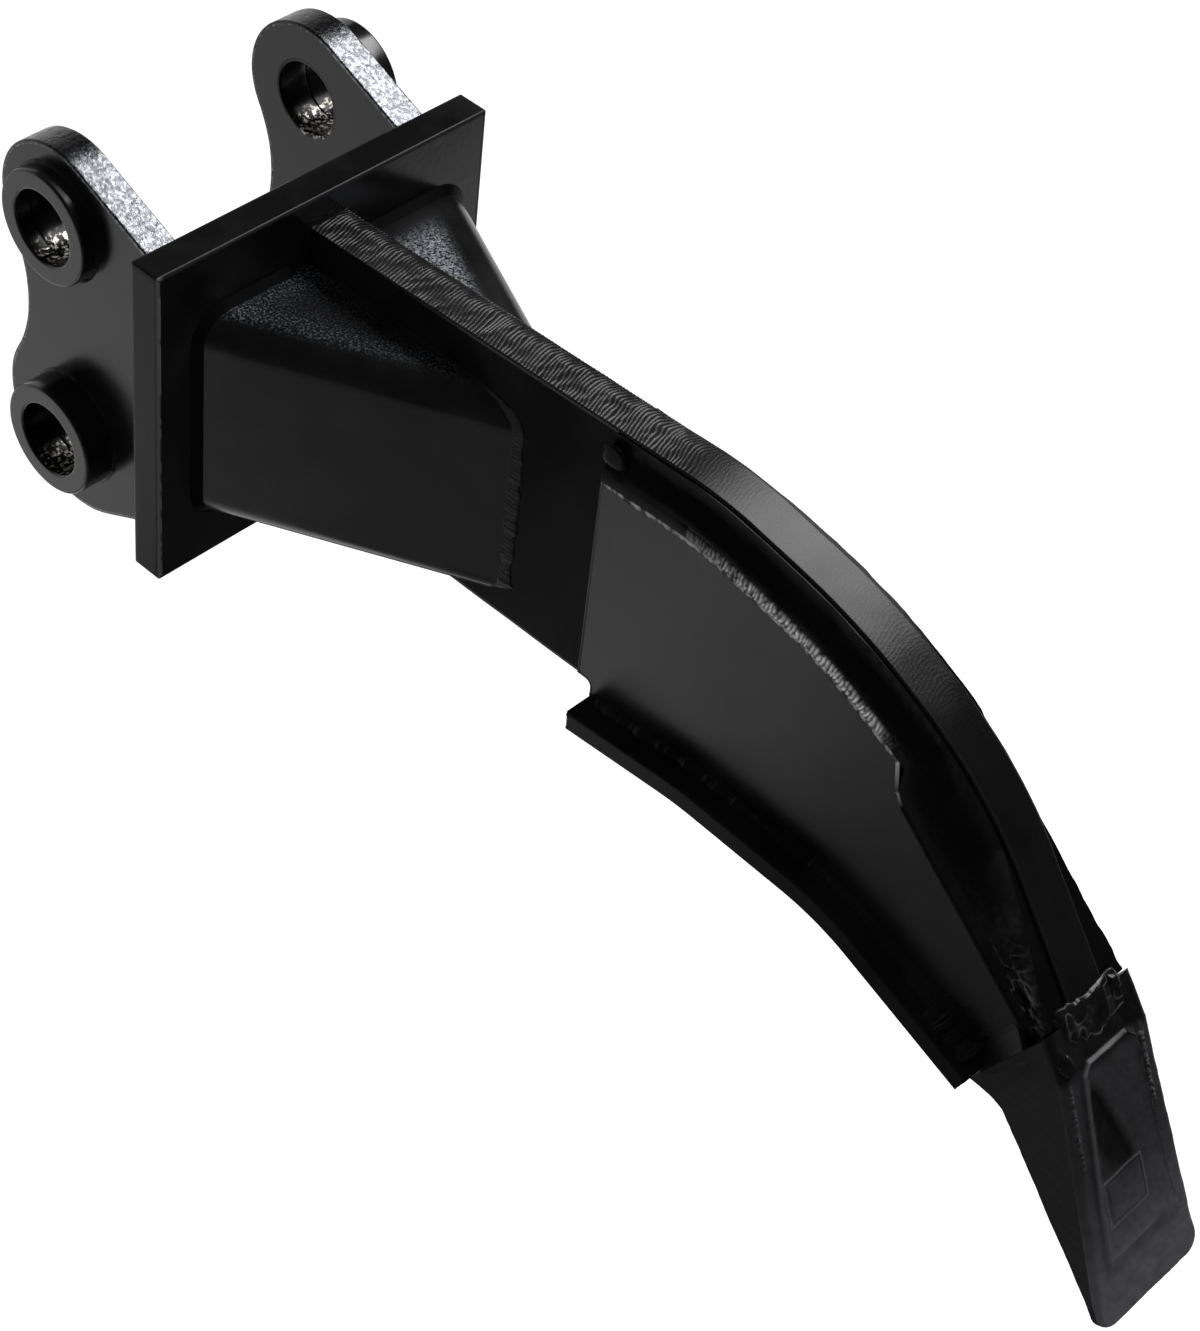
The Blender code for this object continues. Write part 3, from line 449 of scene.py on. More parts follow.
def at_y(flat, y):
    """An array of (x, z) pairs as points at a Y."""
    return in_xz(flat[..., 0], flat[..., 1], y)


def edge_section(low, high, radius, rows):
    """(inset, depth) from one face over its eased edge, across the wall and over the other edge."""
    turn = np.linspace(0, math.pi / 2, 5)
    first = np.stack([radius * (1 - np.sin(turn)), low + radius * (1 - np.cos(turn))], 1)
    wall = np.linspace(low + radius, high - radius, rows + 1)[1:-1]
    middle = np.stack([np.zeros_like(wall), wall], 1)
    last = np.stack([first[::-1, 0], low + high - first[::-1, 1]], 1)
    land = radius + EDGE_LAND
    return np.vstack([[(land, low)], first, middle, last, [(land, high)]])


def cut_plate(name, finishes, outline, low, high, radius, rows=12, holes=(), relief=None,
              place=in_xz):
    """The piece that is a plate cut from flat stock.

    Each loop of its outline times an edge section gives the walls: a point is the loop's point moved in by
    the section's inset, less the relief there, at the section's depth. Relief returns a height and a crest.
    Flat triangles fill both faces. Faces are material 0, walls 1 and the walls of holes 2.
    """
    skin = Skin()
    loops = [outline if signed_area(outline) > 0 else outline[::-1]]
    loops += [hole if signed_area(hole) < 0 else hole[::-1] for hole in holes]
    caps = {low: [], high: []}
    for number, loop in enumerate(loops):
        section = edge_section(low, high, radius, rows if number == 0 else 4)
        inset, depth = section[:, :1], section[:, 1:]
        raised, crest = 0.0, 0.0
        if relief is not None and number == 0:
            raised, crest = relief(loop[None, :, 0], loop[None, :, 1], lengths(loop)[None], depth)
            raised = raised * (inset < radius * 0.7)
        elif number:
            # The walls of holes: pale bare steel low in the bore, partly a painted highlight where light
            # enters.
            crest = rubbed_and_lit_bore(np.arctan2(loop[:, 1] - loop[:, 1].mean(), loop[:, 0] - loop[:, 0].mean()))
        move = raised - inset
        out = mitres(loop)
        a, b = loop[:, 0] + out[:, 0] * move, loop[:, 1] + out[:, 1] * move
        skin.grid(place(a, b, depth), 1 if number == 0 else 2, True, crest)
        for level, row in ((low, 0), (high, -1)):
            caps[level].append(np.stack([a[row], b[row]], 1))
    for level, rings in caps.items():
        points = np.vstack(rings)
        edges, start = [], 0
        for ring in rings:
            ids = start + np.arange(len(ring))
            edges += np.stack([ids, np.roll(ids, -1)], 1).tolist()
            start += len(ring)
        found = geometry.delaunay_2d_cdt([Vector(p) for p in points], edges, [], 1, 1e-9)
        flat = np.array([tuple(p) for p in found[0]])
        faces = np.array([f for f in found[2] if len(f) == 3])
        middle = flat[faces].mean(1)
        keep = inside(middle, rings[0])
        for ring in rings[1:]:
            radii = np.linalg.norm(ring - ring.mean(0), axis=1)
            keep &= np.linalg.norm(middle - ring.mean(0), axis=1) > radii.min()
        spots = place(flat[:, 0], flat[:, 1], level)
        skin.add(spots, (faces[keep] + skin.count).tolist(), 0, np.zeros(len(flat)))
    skin.piece(name, finishes)


def inside(points, loop):
    """Whether each point is inside a closed loop, by the parity of edges crossed going to the right."""
    x, z = points[:, :1], points[:, 1:]
    ax, az = loop[:, 0], loop[:, 1]
    bx, bz = np.roll(ax, -1), np.roll(az, -1)
    crosses = (az > z) != (bz > z)
    with np.errstate(divide="ignore", invalid="ignore"):
        at = ax + (z - az) * (bx - ax) / (bz - az)
    return (np.sum(crosses & (x < at), 1) % 2).astype(bool)


def weld_bead(name, finish, corner, along_a, along_b, leg_a, leg_b, seed, ripple=0.09, crown=0.20,
              closed=False, step=0.0, wander=0.10, pitch=None, columns=16):
    """The piece that is a fillet bead along a corner, with a leg on face a and one on face b.

    At each step the section runs from the toe on face a, over the crown, to the toe on face b: the chord
    between the toes plus crown times 4v(1 - v) outwards, with a small step up at each toe. Crescents
    |sin(pi(s / pitch + (2v - 1)^2 / 2))| stack along it, slow random swells vary the legs, and both ends
    close to a point. The crest value is the crescents' height.
    """
    pitch = pitch or settings().bead_pitch
    walked = lengths(corner)
    along_a, along_b = np.broadcast_to(along_a, corner.shape), np.broadcast_to(along_b, corner.shape)
    leg_a, leg_b = np.broadcast_to(leg_a, walked.shape), np.broadcast_to(leg_b, walked.shape)
    size = 1 + wander * swell(walked, 0, 0.004, seed) + wander * 0.6 * swell(walked, 0, 0.0015, seed + 1)
    if not closed:
        end = np.minimum(walked, walked[-1] - walked) / (0.8 * np.maximum(leg_a.mean(), leg_b.mean()))
        size = size * np.sqrt(np.clip(1 - (1 - np.clip(end, 0, 1)) ** 2, 0, 1))
    la, lb = (leg_a * size)[:, None, None], (leg_b * size)[:, None, None]
    a, b = along_a[:, None, :], along_b[:, None, :]
    root = corner[:, None, :] - (a + b) * BEAD_SINK
    v = np.linspace(0, 1, columns)[None, :, None]
    chord = b * lb - a * la
    out = (a * la + b * lb) / 2
    span = np.maximum(np.sum(chord ** 2, -1, keepdims=True), 1e-12)
    out = unit(out - chord * np.sum(out * chord, -1, keepdims=True) / span)
    long = np.linalg.norm(chord, axis=-1, keepdims=True)
    s = walked[:, None, None]
    lap = np.abs(np.sin(math.pi * (s / pitch + 0.5 * (2 * v - 1) ** 2 + 0.25 * swell(s, 0, 0.003, seed + 3))))
    rough = swell(s, v * 0.004, 0.0011, seed + 2)
    edge = 1 - (2 * v - 1) ** 8
    rise = (crown * 4 * v * (1 - v) + edge * ripple * (lap - 0.6 + 0.5 * rough)) * long
    rise = rise + edge * step * np.minimum(1, long / 0.002)
    surface = root + a * la + chord * v + out * rise
    ring = np.concatenate([root, surface], 1)
    crest = np.concatenate([0 * lap[:, :1, 0], (lap * edge)[..., 0]], 1)
    if closed:
        ring, crest = np.concatenate([ring, ring[:1]]), np.concatenate([crest, crest[:1]])
    skin = Skin()
    skin.grid(ring, 0, True, crest)
    skin.piece(name, (finish,), 60)


def lump(skin, center, radii, seed, relief=0.12, slot=1, rows=20, columns=32):
    """A weld lump: an ellipsoid whose radius is scaled by 1 plus relief times two random swells."""
    polar = np.linspace(0, math.pi, rows)[:, None]
    turn = np.linspace(0, 2 * math.pi, columns, endpoint=False)[None]
    ball = in_xz(np.sin(polar) * np.cos(turn), np.cos(polar), np.sin(polar) * np.sin(turn))
    bumps = swell(ball[..., 0] + 3, ball[..., 1] + ball[..., 2] * 0.7 + 3, 0.55, seed) * relief
    bumps += swell(ball[..., 1] + 5, ball[..., 2] + ball[..., 0] * 0.6 + 5, 0.22, seed + 1) * relief * 0.4
    scaled = ball * (1 + bumps * np.sin(polar))[..., None] * np.array(radii)
    skin.grid(np.array(center) + scaled, slot, True)


def patch(skin, top, under, crest=0.0, slot=0):
    """A closed skin between an upper and a lower grid of the same size; slot and crest are the top's."""
    skin.grid(top, slot, False, crest)
    skin.grid(under, np.max(slot))
    for cut in (np.s_[0], np.s_[-1], np.s_[:, 0], np.s_[:, -1]):
        skin.grid(np.stack([top[cut], under[cut]]), np.max(slot))


# Materials

def node(tree, kind, inputs=None, out=0, **properties):
    """Adds a shader node; inputs are values or the outputs of other nodes. Returns one of its outputs."""
    made = tree.nodes.new("ShaderNode" + kind)
    for key, value in properties.items():
        setattr(made, key, value)
    for socket, value in (inputs or {}).items():
        if isinstance(value, bpy.types.NodeSocket):
            tree.links.new(value, made.inputs[socket])
        else:
            made.inputs[socket].default_value = value
    return made.outputs[out] if made.outputs else made


def empty_tree(owner):
    """The node tree of a material or world, with nothing in it."""
    owner.use_nodes = True
    owner.node_tree.nodes.clear()
    return owner.node_tree


# Noise value at which a fleck shows: painted glints and sheen on the boxes' grain, blotches of pale steel in
# the bores
SPECK_LEVEL = 0.59


def enamel(name, rough, gloss, grit=0.0, grit_size=0.0007, grain=0.0, tones=None, cloud=0.03, crest=None,
           speckle=0.0, metallic=0.0):
    """Sprayed black enamel on steel, with orange peel and slow changes of tone and gloss.

    grit is the depth of fine scale under the coat, grain the depth of the coarse grain where the crest value
    is 1, tones a pair of colours that clouds of the given size mix, and crest the colour that the crest
    value turns to, broken into specks of the given softness when speckle is set.
    """
    look = settings()
    material = bpy.data.materials.new(name)
    tree = empty_tree(material)
    low, high = tones or (tuple(look.coat), tuple(look.worn))
    where = node(tree, "TexCoord", out="Object")
    cells = node(tree, "TexNoise", {"Vector": where, "Scale": 1 / look.peel, "Detail": 2.0})
    bump = node(tree, "Bump", {"Height": cells, "Strength": 1.0, "Distance": 0.00002})
    if grit:
        fine = node(tree, "TexNoise", {"Vector": where, "Scale": 1 / grit_size, "Detail": 3.0,
                                       "Roughness": 0.7})
        bump = node(tree, "Bump", {"Height": fine, "Normal": bump, "Strength": 1.0, "Distance": grit})
    clouds = node(tree, "TexNoise", {"Vector": where, "Scale": 1 / cloud, "Detail": 3.0})
    share = node(tree, "MapRange", {"Value": clouds, "From Min": 0.42, "From Max": 0.62})
    tone = node(tree, "Mix", {0: share, 6: (*low, 1), 7: (*high, 1)}, out=2, data_type="RGBA")
    if crest:
        height = node(tree, "Attribute", out="Fac", attribute_name="crest")
        if speckle:
            specks = node(tree, "TexNoise", {"Vector": where, "Scale": 1 / grit_size, "Detail": 2.0})
            lit = node(tree, "MapRange", {"Value": specks, "From Min": SPECK_LEVEL - speckle,
                                          "From Max": SPECK_LEVEL + speckle})
            raised = node(tree, "Math", {0: specks, 1: height}, operation="MULTIPLY")
            bump = node(tree, "Bump", {"Height": raised, "Normal": bump, "Strength": 1.0, "Distance": grain})
            height = node(tree, "Math", {0: lit, 1: height}, operation="MULTIPLY")
        tone = node(tree, "Mix", {0: height, 6: tone, 7: (*crest, 1)}, out=2, data_type="RGBA")
    softness = node(tree, "MapRange", {"Value": clouds, "From Min": 0.3, "From Max": 0.7,
                                       "To Min": rough - 0.04, "To Max": rough + 0.05})
    shader = node(tree, "BsdfPrincipled", {"Base Color": tone, "Roughness": softness, "Normal": bump,
                                           "Metallic": metallic, "Specular IOR Level": gloss})
    node(tree, "OutputMaterial", {0: shader})
    return material


# Tones of a thick, clean coat
JET = (linear("#080809"), linear("#0c0c0d"))

# Finishes, each named for the real surface and for any light or shade painted into it; the comment tells what
# it gives the eye
FINISHES = {
    # gloss enamel on rolled plate: calm black with soft, slightly uneven reflections
    "plate_enamel": dict(rough=0.22, gloss=0.30),
    # the same enamel on a sawn and ground edge: a little darker and duller than the face; its crest colour is
    # a painted highlight along the front arris, full on the near upright edge and faint on the others
    "plate_sawn_edge_painted_highlight": dict(rough=0.27, gloss=0.08, crest=linear("#5c5c60")),
    # gloss enamel on the ears' faces: mid grey where they mirror the white sweep
    "ear_enamel": dict(rough=0.22, gloss=0.24),
    # thin enamel over a torch-cut edge: crackled silver where it mirrors the softbox; where the crest value
    # is set, its dark colour is painted shade
    "ear_torch_edge_painted_shade": dict(rough=0.25, gloss=0.40, grit=0.00022, grit_size=0.0012, metallic=0.85,
                           tones=(linear("#404144"), linear("#707176")), cloud=0.0014,
                           crest=linear("#18181a")),
    # drilled bore with thin overspray: black at its top; low down, blotches of bare warm steel where the pin
    # rubs, painted pale as a highlight where light enters
    "bored_steel_painted_highlight": dict(rough=0.26, gloss=0.20, grain=0.00012, grit_size=0.0016, metallic=0.60,
                        crest=linear("#c6c0b6"), speckle=0.09),
    # gloss enamel on turned steel: crisp streaks round the collars' sides
    "turned_enamel": dict(rough=0.22, gloss=0.30),
    # satin enamel on the shank's rolled sides: nearly no reflection, so they stay black
    "shank_enamel": dict(rough=0.25, gloss=0.02),
    # enamel over flame drag lines: grey crests on black grooves, the grey a painted highlight on the ridges,
    # with a painted highlight line along the top's near arris
    "flame_cut_edge_painted_highlights": dict(rough=0.31, gloss=0.17, grit=0.000040, grit_size=0.0010, tones=JET,
                           crest=linear("#26262a")),
    # gloss enamel on folded sheet with fine spatter: thin grains painted bright as glints where the crest
    # value is set
    "spattered_enamel_painted_glints": dict(rough=0.24, gloss=0.36, grain=0.00022, grit_size=0.0008, crest=linear("#6b7078"),
                             speckle=0.09),
    # gloss enamel on folded sheet, sprayed thick: orange peel painted blue-grey as a sheen where the crest
    # value is set
    "peeled_enamel_painted_sheen": dict(rough=0.24, gloss=0.24, grain=0.00030, grit_size=0.0007, crest=linear("#a3a9b0"),
                          speckle=0.20),
    # satin enamel on the cheeks' rolled plate: an even dark grey
    "cheek_enamel": dict(rough=0.30, gloss=0.26),
    # dull enamel on the cheeks' cut edges: black, rubbed through on the upper arris, where the crest colour
    # paints a thin dotted highlight
    "cheek_rubbed_edge_painted_highlight": dict(rough=0.25, gloss=0.04, crest=linear("#b4b5b9")),
    # dull enamel on flat bar: deep black
    "bar_enamel": dict(rough=0.30, gloss=0.05),
    # enamel on forged steel: granular dark grey, paler towards the tip; on the front the crest colour also
    # paints highlights on the panel's near rim, round the blank pad and on the slag loops, and is held back
    # in the hollow as painted shade
    "forged_enamel_painted_light": dict(rough=0.34, gloss=0.12, grit=0.00004, grit_size=0.0009, crest=linear("#5c5c60")),
    # enamel over weld beads: glossy black with thin glints on the crescents
    "weld_enamel": dict(rough=0.20, gloss=0.17),
    # enamel over the tooth's root weld: glossy black, with pale irregular lines at its toes and on its loops
    # painted as highlights
    "root_weld_enamel_painted_highlights": dict(rough=0.20, gloss=0.14, crest=linear("#66666b")),
    # enamel over beads laid flush with the folded sheet: the sheet's own tone with dark toes
    "flush_weld_enamel": dict(rough=0.26, gloss=0.06, grit=0.00003),
    # dull enamel pooled over the boxes' beads: black
    "pooled_enamel": dict(rough=0.30, gloss=0.01, tones=JET),
    # thin enamel on the cheeks' stacked bead: its crescents painted near white as glints
    "stacked_weld_painted_glints": dict(rough=0.34, gloss=0.30, grit=0.00012, grit_size=0.0008, tones=JET,
                         crest=linear("#fafafc")),
    # satin enamel on the run-out between a bead and the shank's edge: smooth black, with grey loops by the
    # tooth painted as highlights
    "run_out_enamel_painted_loops": dict(rough=0.25, gloss=0.04, tones=JET, crest=linear("#77777c")),
}
MATERIALS = {}


def finish_of(name):
    """The named finish, made once."""
    if name not in MATERIALS:
        MATERIALS[name] = enamel(name, **FINISHES[name])
    return MATERIALS[name]


# Pieces

def bore_loop(pin):
    """The circle of a bore about a pin's axis."""
    return arc(pin, BORE_RADIUS, 0, 360, 4.5)[:-1]


def drag_lines(walked, across, pitch, seed):
    """Ridges left by a cutting flame, 0 in the grooves and 1 on the crests.

    1 - |sin| of the distance walked over the pitch. The line lags evenly across the wall, hooks forward by a
    square law in its last two fifths, and random swells bend and fork it.
    """
    lag = 3.6 * across - 16.0 * np.clip(across - 0.60, 0, 1) ** 2
    bend = 0.45 * swell(walked, across * 0.010, 0.006, seed)
    bend = bend + 0.36 * swell(walked, across * 0.010, 0.0022, seed + 1)
    return 1 - np.abs(np.sin(math.pi * (walked / pitch + lag + bend)))


class RIPPER_OT_base_plate(bpy.types.Operator):
    """Base plate: a rounded rectangle in YZ, cut through X, with eased edges."""
    bl_idname = "ripper.base_plate"
    bl_label = "Base plate"

    def execute(self, context):
        y, low, top = PLATE_HALF_WIDTH - PLATE_CORNER, PLATE_LOW_Z + PLATE_CORNER, PLATE_TOP_Z - PLATE_CORNER
        corners = (((y, low), -90), ((y, top), 0), ((-y, top), 90), ((-y, low), 180))
        loop = np.vstack([arc(place, PLATE_CORNER, start, start + 90, 22.5) for place, start in corners])
        loop = np.vstack([even(np.vstack([a, b]), 0.002)[:-1] for a, b in zip(loop, np.roll(loop, -1, 0))])
        rub = context.scene.ripper.plate_ease

        # The crest value paints a highlight along the front arris: full on the near upright edge, faint on
        # the others.
        def relief(across, z, walked, depth):
            place = np.where(across < 0.002 - PLATE_HALF_WIDTH, 1.0, 0.12)
            return 0 * across * depth, place * ease(depth, PLATE_FRONT_X - rub, PLATE_FRONT_X - rub * 0.3)
        cut_plate("base_plate", ("plate_enamel", "plate_sawn_edge_painted_highlight"), loop, PLATE_BACK_X,
                  PLATE_FRONT_X, rub, relief=relief, place=in_yz)
        return {"FINISHED"}


class RIPPER_OT_ears(bpy.types.Operator):
    """Ear plates: the two-lobed outline with its two bores, cut through Y, with faint drag lines.

    The crest value paints shade on the cut edge: all but the slope down to the plate.
    """
    bl_idname = "ripper.ears"
    bl_label = "Ears"

    def execute(self, context):
        for side, sign in SIDES:
            low, high = sorted((sign * EAR_INNER_Y, sign * EAR_OUTER_Y))

            def relief(x, z, walked, depth):
                across = (depth - low) / (high - low)
                lines = drag_lines(walked, across, EAR_LINE_PITCH, 11) ** 3
                torn = swell(walked, depth, 0.0016, 13) * ease(across * sign, 0.30 * sign, 0.55 * sign)
                # Painted shade: the crest darkens the cut edge everywhere but on the slope down to the plate.
                painted_edge_shade = 0.92 * fade(x, LINK_PIN[0] + 0.002, LINK_PIN[0] + 0.013) + 0 * across
                return -0.00009 * lines + 0.00006 * torn + 0.00005 * swell(walked, depth, 0.006, 12), painted_edge_shade
            holes = (bore_loop(LINK_PIN), bore_loop(STICK_PIN))
            cut_plate(f"ear_{side}", ("ear_enamel", "ear_torch_edge_painted_shade", "bored_steel_painted_highlight"),
                      ear_outline(), low, high, EAR_EDGE, 18, holes, relief)
        return {"FINISHED"}


class RIPPER_OT_collars(bpy.types.Operator):
    """Collars and their beads: a closed profile of (radius, reach) revolved about each pin's axis."""
    bl_idname = "ripper.collars"
    bl_label = "Collars"

    def execute(self, context):
        angle = np.radians(np.arange(0, 360))
        out = in_xz(np.cos(angle), np.sin(angle), 0)
        for side, sign in SIDES:
            for pin_name, pin in (("link", LINK_PIN), ("stick", STICK_PIN)):
                name = f"collar_{pin_name}_{side}"
                near, far, r = EAR_OUTER_Y + SEAT, np.abs([p.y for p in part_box(name)]).max(), COLLAR_EDGE
                rim = arc((COLLAR_RADIUS - r, far - r), r, 0, 90, 18)
                lip = arc((BORE_RADIUS + r, far - r), r, 90, 180, 18)
                face = [(radius, far) for radius in np.linspace(COLLAR_RADIUS - r, BORE_RADIUS + r, 9)[1:-1]]
                profile = np.vstack([[(COLLAR_RADIUS, near)], rim, face, lip, [(BORE_RADIUS, near)]])
                turn = np.radians(np.arange(0, 360, 3.0))[:, None]
                grid = in_xz(pin[0] + profile[:, 0] * np.cos(turn), pin[1] + profile[:, 0] * np.sin(turn),
                             sign * profile[:, 1])
                ring = np.concatenate([grid, grid[:1]])
                skin = Skin()
                skin.grid(ring[:, :-1])
                # The bore: pale bare steel low down, partly a painted highlight where light enters.
                skin.grid(ring[:, -2:], 1, crest=rubbed_and_lit_bore(np.append(turn, turn[0]))[:, None])
                skin.grid(ring[:, [-1, 0]])
                skin.piece(name, ("turned_enamel", "bored_steel_painted_highlight"))
                corner = out * COLLAR_RADIUS + (pin[0], sign * EAR_OUTER_Y, pin[1])
                weld_bead("weld_" + name, "flush_weld_enamel", corner, out, (0, sign, 0), COLLAR_BEAD_LEG,
                          COLLAR_BEAD_LEG, 31, crown=0.02, ripple=0.01, closed=True,
                          pitch=COLLAR_RADIUS * 2 * math.pi / COLLAR_BEAD_CRESCENTS)
        return {"FINISHED"}


class RIPPER_OT_ear_welds(bpy.types.Operator):
    """Fillet beads down both faces of each ear, where it stands on the plate's back."""
    bl_idname = "ripper.ear_welds"
    bl_label = "Ear welds"

    def execute(self, context):
        outline = ear_outline()
        foot = outline[outline[:, 0] > PLATE_BACK_X - 0.001, 1]
        z = np.arange(foot.min() + 0.002, foot.max() - 0.002, 0.00035)
        faces = (("outer", EAR_OUTER_Y, 1, 41), ("inner", EAR_INNER_Y, -1, 46))
        for side, sign in SIDES:
            for place, face, away, seed in faces:
                corner = in_yz(sign * face, z, PLATE_BACK_X)
                weld_bead(f"weld_ear_{place}_{side}", "weld_enamel", corner, (0, sign * away, 0), (-1, 0, 0),
                          EAR_BEAD_LEG, EAR_BEAD_LEG, seed)
        return {"FINISHED"}


class RIPPER_OT_shank(bpy.types.Operator):
    """The curved plate, flame cut: drag lines run across its cut edge and lag towards the far face."""
    bl_idname = "ripper.shank"
    bl_label = "Shank"

    def execute(self, context):
        look = context.scene.ripper
        top, low = even(shank_top(), look.drag_pitch / 8), shank_low()
        end = even(np.vstack([top[-1], low[-1]]), 0.001)[1:-1]
        back = even(np.vstack([low[0], top[0]]), 0.003)[1:-1]
        loop = np.vstack([top, end, low[::-1], back])

        def relief(x, z, walked, depth):
            across = (depth + HALF_SHANK) / (2 * HALF_SHANK)
            on_top = (z > 0.02) | (x > 0.33)
            lines = drag_lines(walked[:, -1:] - walked, across, look.drag_pitch, 5) ** 1.6
            uneven = 0.80 + 0.20 * swell(walked, across * 0.008, 0.004, 8)
            left = (1 - 0.93 * ease(x, *SHANK_LINES_X)) * on_top
            height = look.drag_depth * lines * uneven * left + 0.00006 * swell(walked, depth, 0.008, 7)
            # Painted highlights: the crest colours the drag lines' ridges grey, and rim adds a pale line
            # along the top's near arris.
            rim = bell(across, 0.04, 0.022) * 0.35 * on_top
            return height, np.clip(lines ** 3.6 * uneven * left + rim, 0, 1)
        cut_plate("shank", ("shank_enamel", "flame_cut_edge_painted_highlights"), loop[::-1], -HALF_SHANK,
                  HALF_SHANK, SHANK_EDGE, 26, relief=relief)
        return {"FINISHED"}


def box_slope(reach, front_x):
    """Angle of a side box's outer wall to the shank."""
    return math.atan2(reach - HALF_SHANK, front_x - PLATE_FRONT_X)


def box_profile(reach, slope, inset):
    """Channel section (inward from the outer wall, Z) at a depth into the sheet, upper flange first."""
    inner = (reach - HALF_SHANK) * math.cos(slope)
    top, low, r = BOX_TOP_Z - inset, BOX_LOW_Z + inset, BOX_BEND_RADIUS - inset
    upper = arc((BOX_BEND_RADIUS, BOX_TOP_Z - BOX_BEND_RADIUS), r, 90, 180, 7.5)
    lower = arc((BOX_BEND_RADIUS, BOX_LOW_Z + BOX_BEND_RADIUS), r, 180, 270, 7.5)
    flange = np.linspace(inner, BOX_BEND_RADIUS, 24)[:-1]
    wall = np.linspace(upper[-1, 1], lower[0, 1], 30)[1:-1]
    return np.vstack([[(at, top) for at in flange], upper, [(inset, at) for at in wall], lower,
                      [(at, low) for at in flange[::-1]]])


class RIPPER_OT_side_boxes(bpy.types.Operator):
    """Side boxes: a folded channel section carried along the fold from the plate's plane to the shank's.

    The crest value paints highlights on the upper flange: glints on spatter grains, densest along the bend
    and the plate on the right box, and a sheen on the orange peel inward of the bend on the left one.
    """
    bl_idname = "ripper.side_boxes"
    bl_label = "Side boxes"

    def execute(self, context):
        for side, sign, reach, front_x in BOXES:
            slope = box_slope(reach, front_x)
            sheets = []
            for inset in (0.0, BOX_SHEET):
                profile = box_profile(reach, slope, inset)
                inward, z = profile[:, 0][None], profile[:, 1][None]
                start = (SEAT + math.sin(slope) * inward) / math.cos(slope)
                end = (reach - HALF_SHANK - SEAT - math.cos(slope) * inward) / math.sin(slope)
                along = start + (np.maximum(end, start) - start) * np.linspace(0, 1, 60)[:, None]
                x = PLATE_FRONT_X + math.cos(slope) * along - math.sin(slope) * inward
                y = sign * (reach - math.sin(slope) * along - math.cos(slope) * inward)
                sheets.append(in_xz(x, z, y))
            outer, inner = sheets
            x, y, z = outer[..., 0], np.abs(outer[..., 1]), outer[..., 2]
            past_bend = inward - BOX_BEND_RADIUS
            on_top = ease(z, BOX_TOP_Z - 0.0012, BOX_TOP_Z - 0.0002)
            # Painted highlights on the upper flange: glints along the right box's bend and plate, a sheen
            # inward of the left box's bend.
            if sign < 0:
                crest = 0.30 * bell(past_bend, 0.001, 0.004) * fade(x, 0.112, 0.135)
                crest += 0.35 * bell(x, PLATE_FRONT_X + 0.005, 0.006)
                crest += 0.10 * fade(x, 0.080, 0.110)
            else:
                crest = ease(x, PLATE_FRONT_X + 0.006, PLATE_FRONT_X + 0.020) * ease(past_bend, 0.002, 0.009)
            finish = "spattered_enamel_painted_glints" if sign < 0 else "peeled_enamel_painted_sheen"
            skin = Skin()
            patch(skin, outer, inner, np.clip(crest * on_top, 0, 1))
            skin.piece(f"side_box_{side}", (finish,))
        return {"FINISHED"}


class RIPPER_OT_box_welds(bpy.types.Operator):
    """Low beads round each box's two ends, where its outer section meets the plate and the shank."""
    bl_idname = "ripper.box_welds"
    bl_label = "Side box welds"

    def execute(self, context):
        for side, sign, reach, front_x in BOXES:
            slope = box_slope(reach, front_x)
            profile = even(box_profile(reach, slope, 0.0), 0.0004)
            facing = np.abs(left_normals(profile))
            fold = np.array([math.cos(slope), -sign * math.sin(slope), 0.0])
            inward, z = profile[:, 0], profile[:, 1]
            up = np.where(z > (BOX_TOP_Z + BOX_LOW_Z) / 2, 1.0, -1.0)
            y = reach - inward / math.cos(slope)
            keep = y > HALF_SHANK + 0.006
            out = unit(in_yz(sign * facing[:, 0], up * facing[:, 1], 0))[keep]
            corner = in_yz(sign * y, z, PLATE_FRONT_X)[keep]
            wide = 0.0026 - 0.0006 * facing[keep, 0]
            weld_bead(f"weld_box_plate_{side}", "pooled_enamel", corner, out, fold, wide,
                      BOX_PLATE_BEAD_LEG, 51, crown=0.0, ripple=0.0, wander=0.0)
            x = front_x - inward / math.sin(slope)
            keep = (x > PLATE_FRONT_X + 0.007) & (z > BOX_LOW_Z + BOX_BEND_RADIUS * 0.3)
            out = unit(at_y(facing, 0))[keep]
            corner = in_xz(x, z, sign * HALF_SHANK)[keep]
            wide = 0.0008 + 0.0038 * facing[keep, 0] ** 2
            weld_bead(f"weld_box_shank_{side}", "flush_weld_enamel", corner, out, -fold, wide,
                      BOX_SHANK_BEAD_LEG, 61, crown=0.03, ripple=0.015, step=0.0002, wander=0.18)
        return {"FINISHED"}


class RIPPER_OT_root_welds(bpy.types.Operator):
    """Beads round the shank's root: over its top and down to the side boxes, and under it."""
    bl_idname = "ripper.root_welds"
    bl_label = "Shank root welds"

    def execute(self, context):
        top, stop = SHANK_TOP_AT_PLATE, BOX_TOP_Z + 0.003
        h, r = HALF_SHANK, 0.0008
        corners = [arc((-h + r, top - r), r, 180, 90, 15), arc((h - r, top - r), r, 90, 0, 15)]
        over = even(np.vstack([[(-h, stop)], *corners, [(h, stop)]]), 0.0004)
        under = even([(h - 0.001, SHANK_LOW_AT_PLATE), (-h + 0.001, SHANK_LOW_AT_PLATE)], 0.0004)
        for name, line in (("weld_shank_top", over), ("weld_shank_under", under)):
            corner = in_yz(*line.T, PLATE_FRONT_X)
            away = in_yz(*left_normals(line).T, 0)
            weld_bead(name, "flush_weld_enamel", corner, away, (1, 0, 0), *ROOT_BEAD_LEGS, 71, crown=0.02,
                      ripple=0.03, wander=0.20)
        return {"FINISHED"}


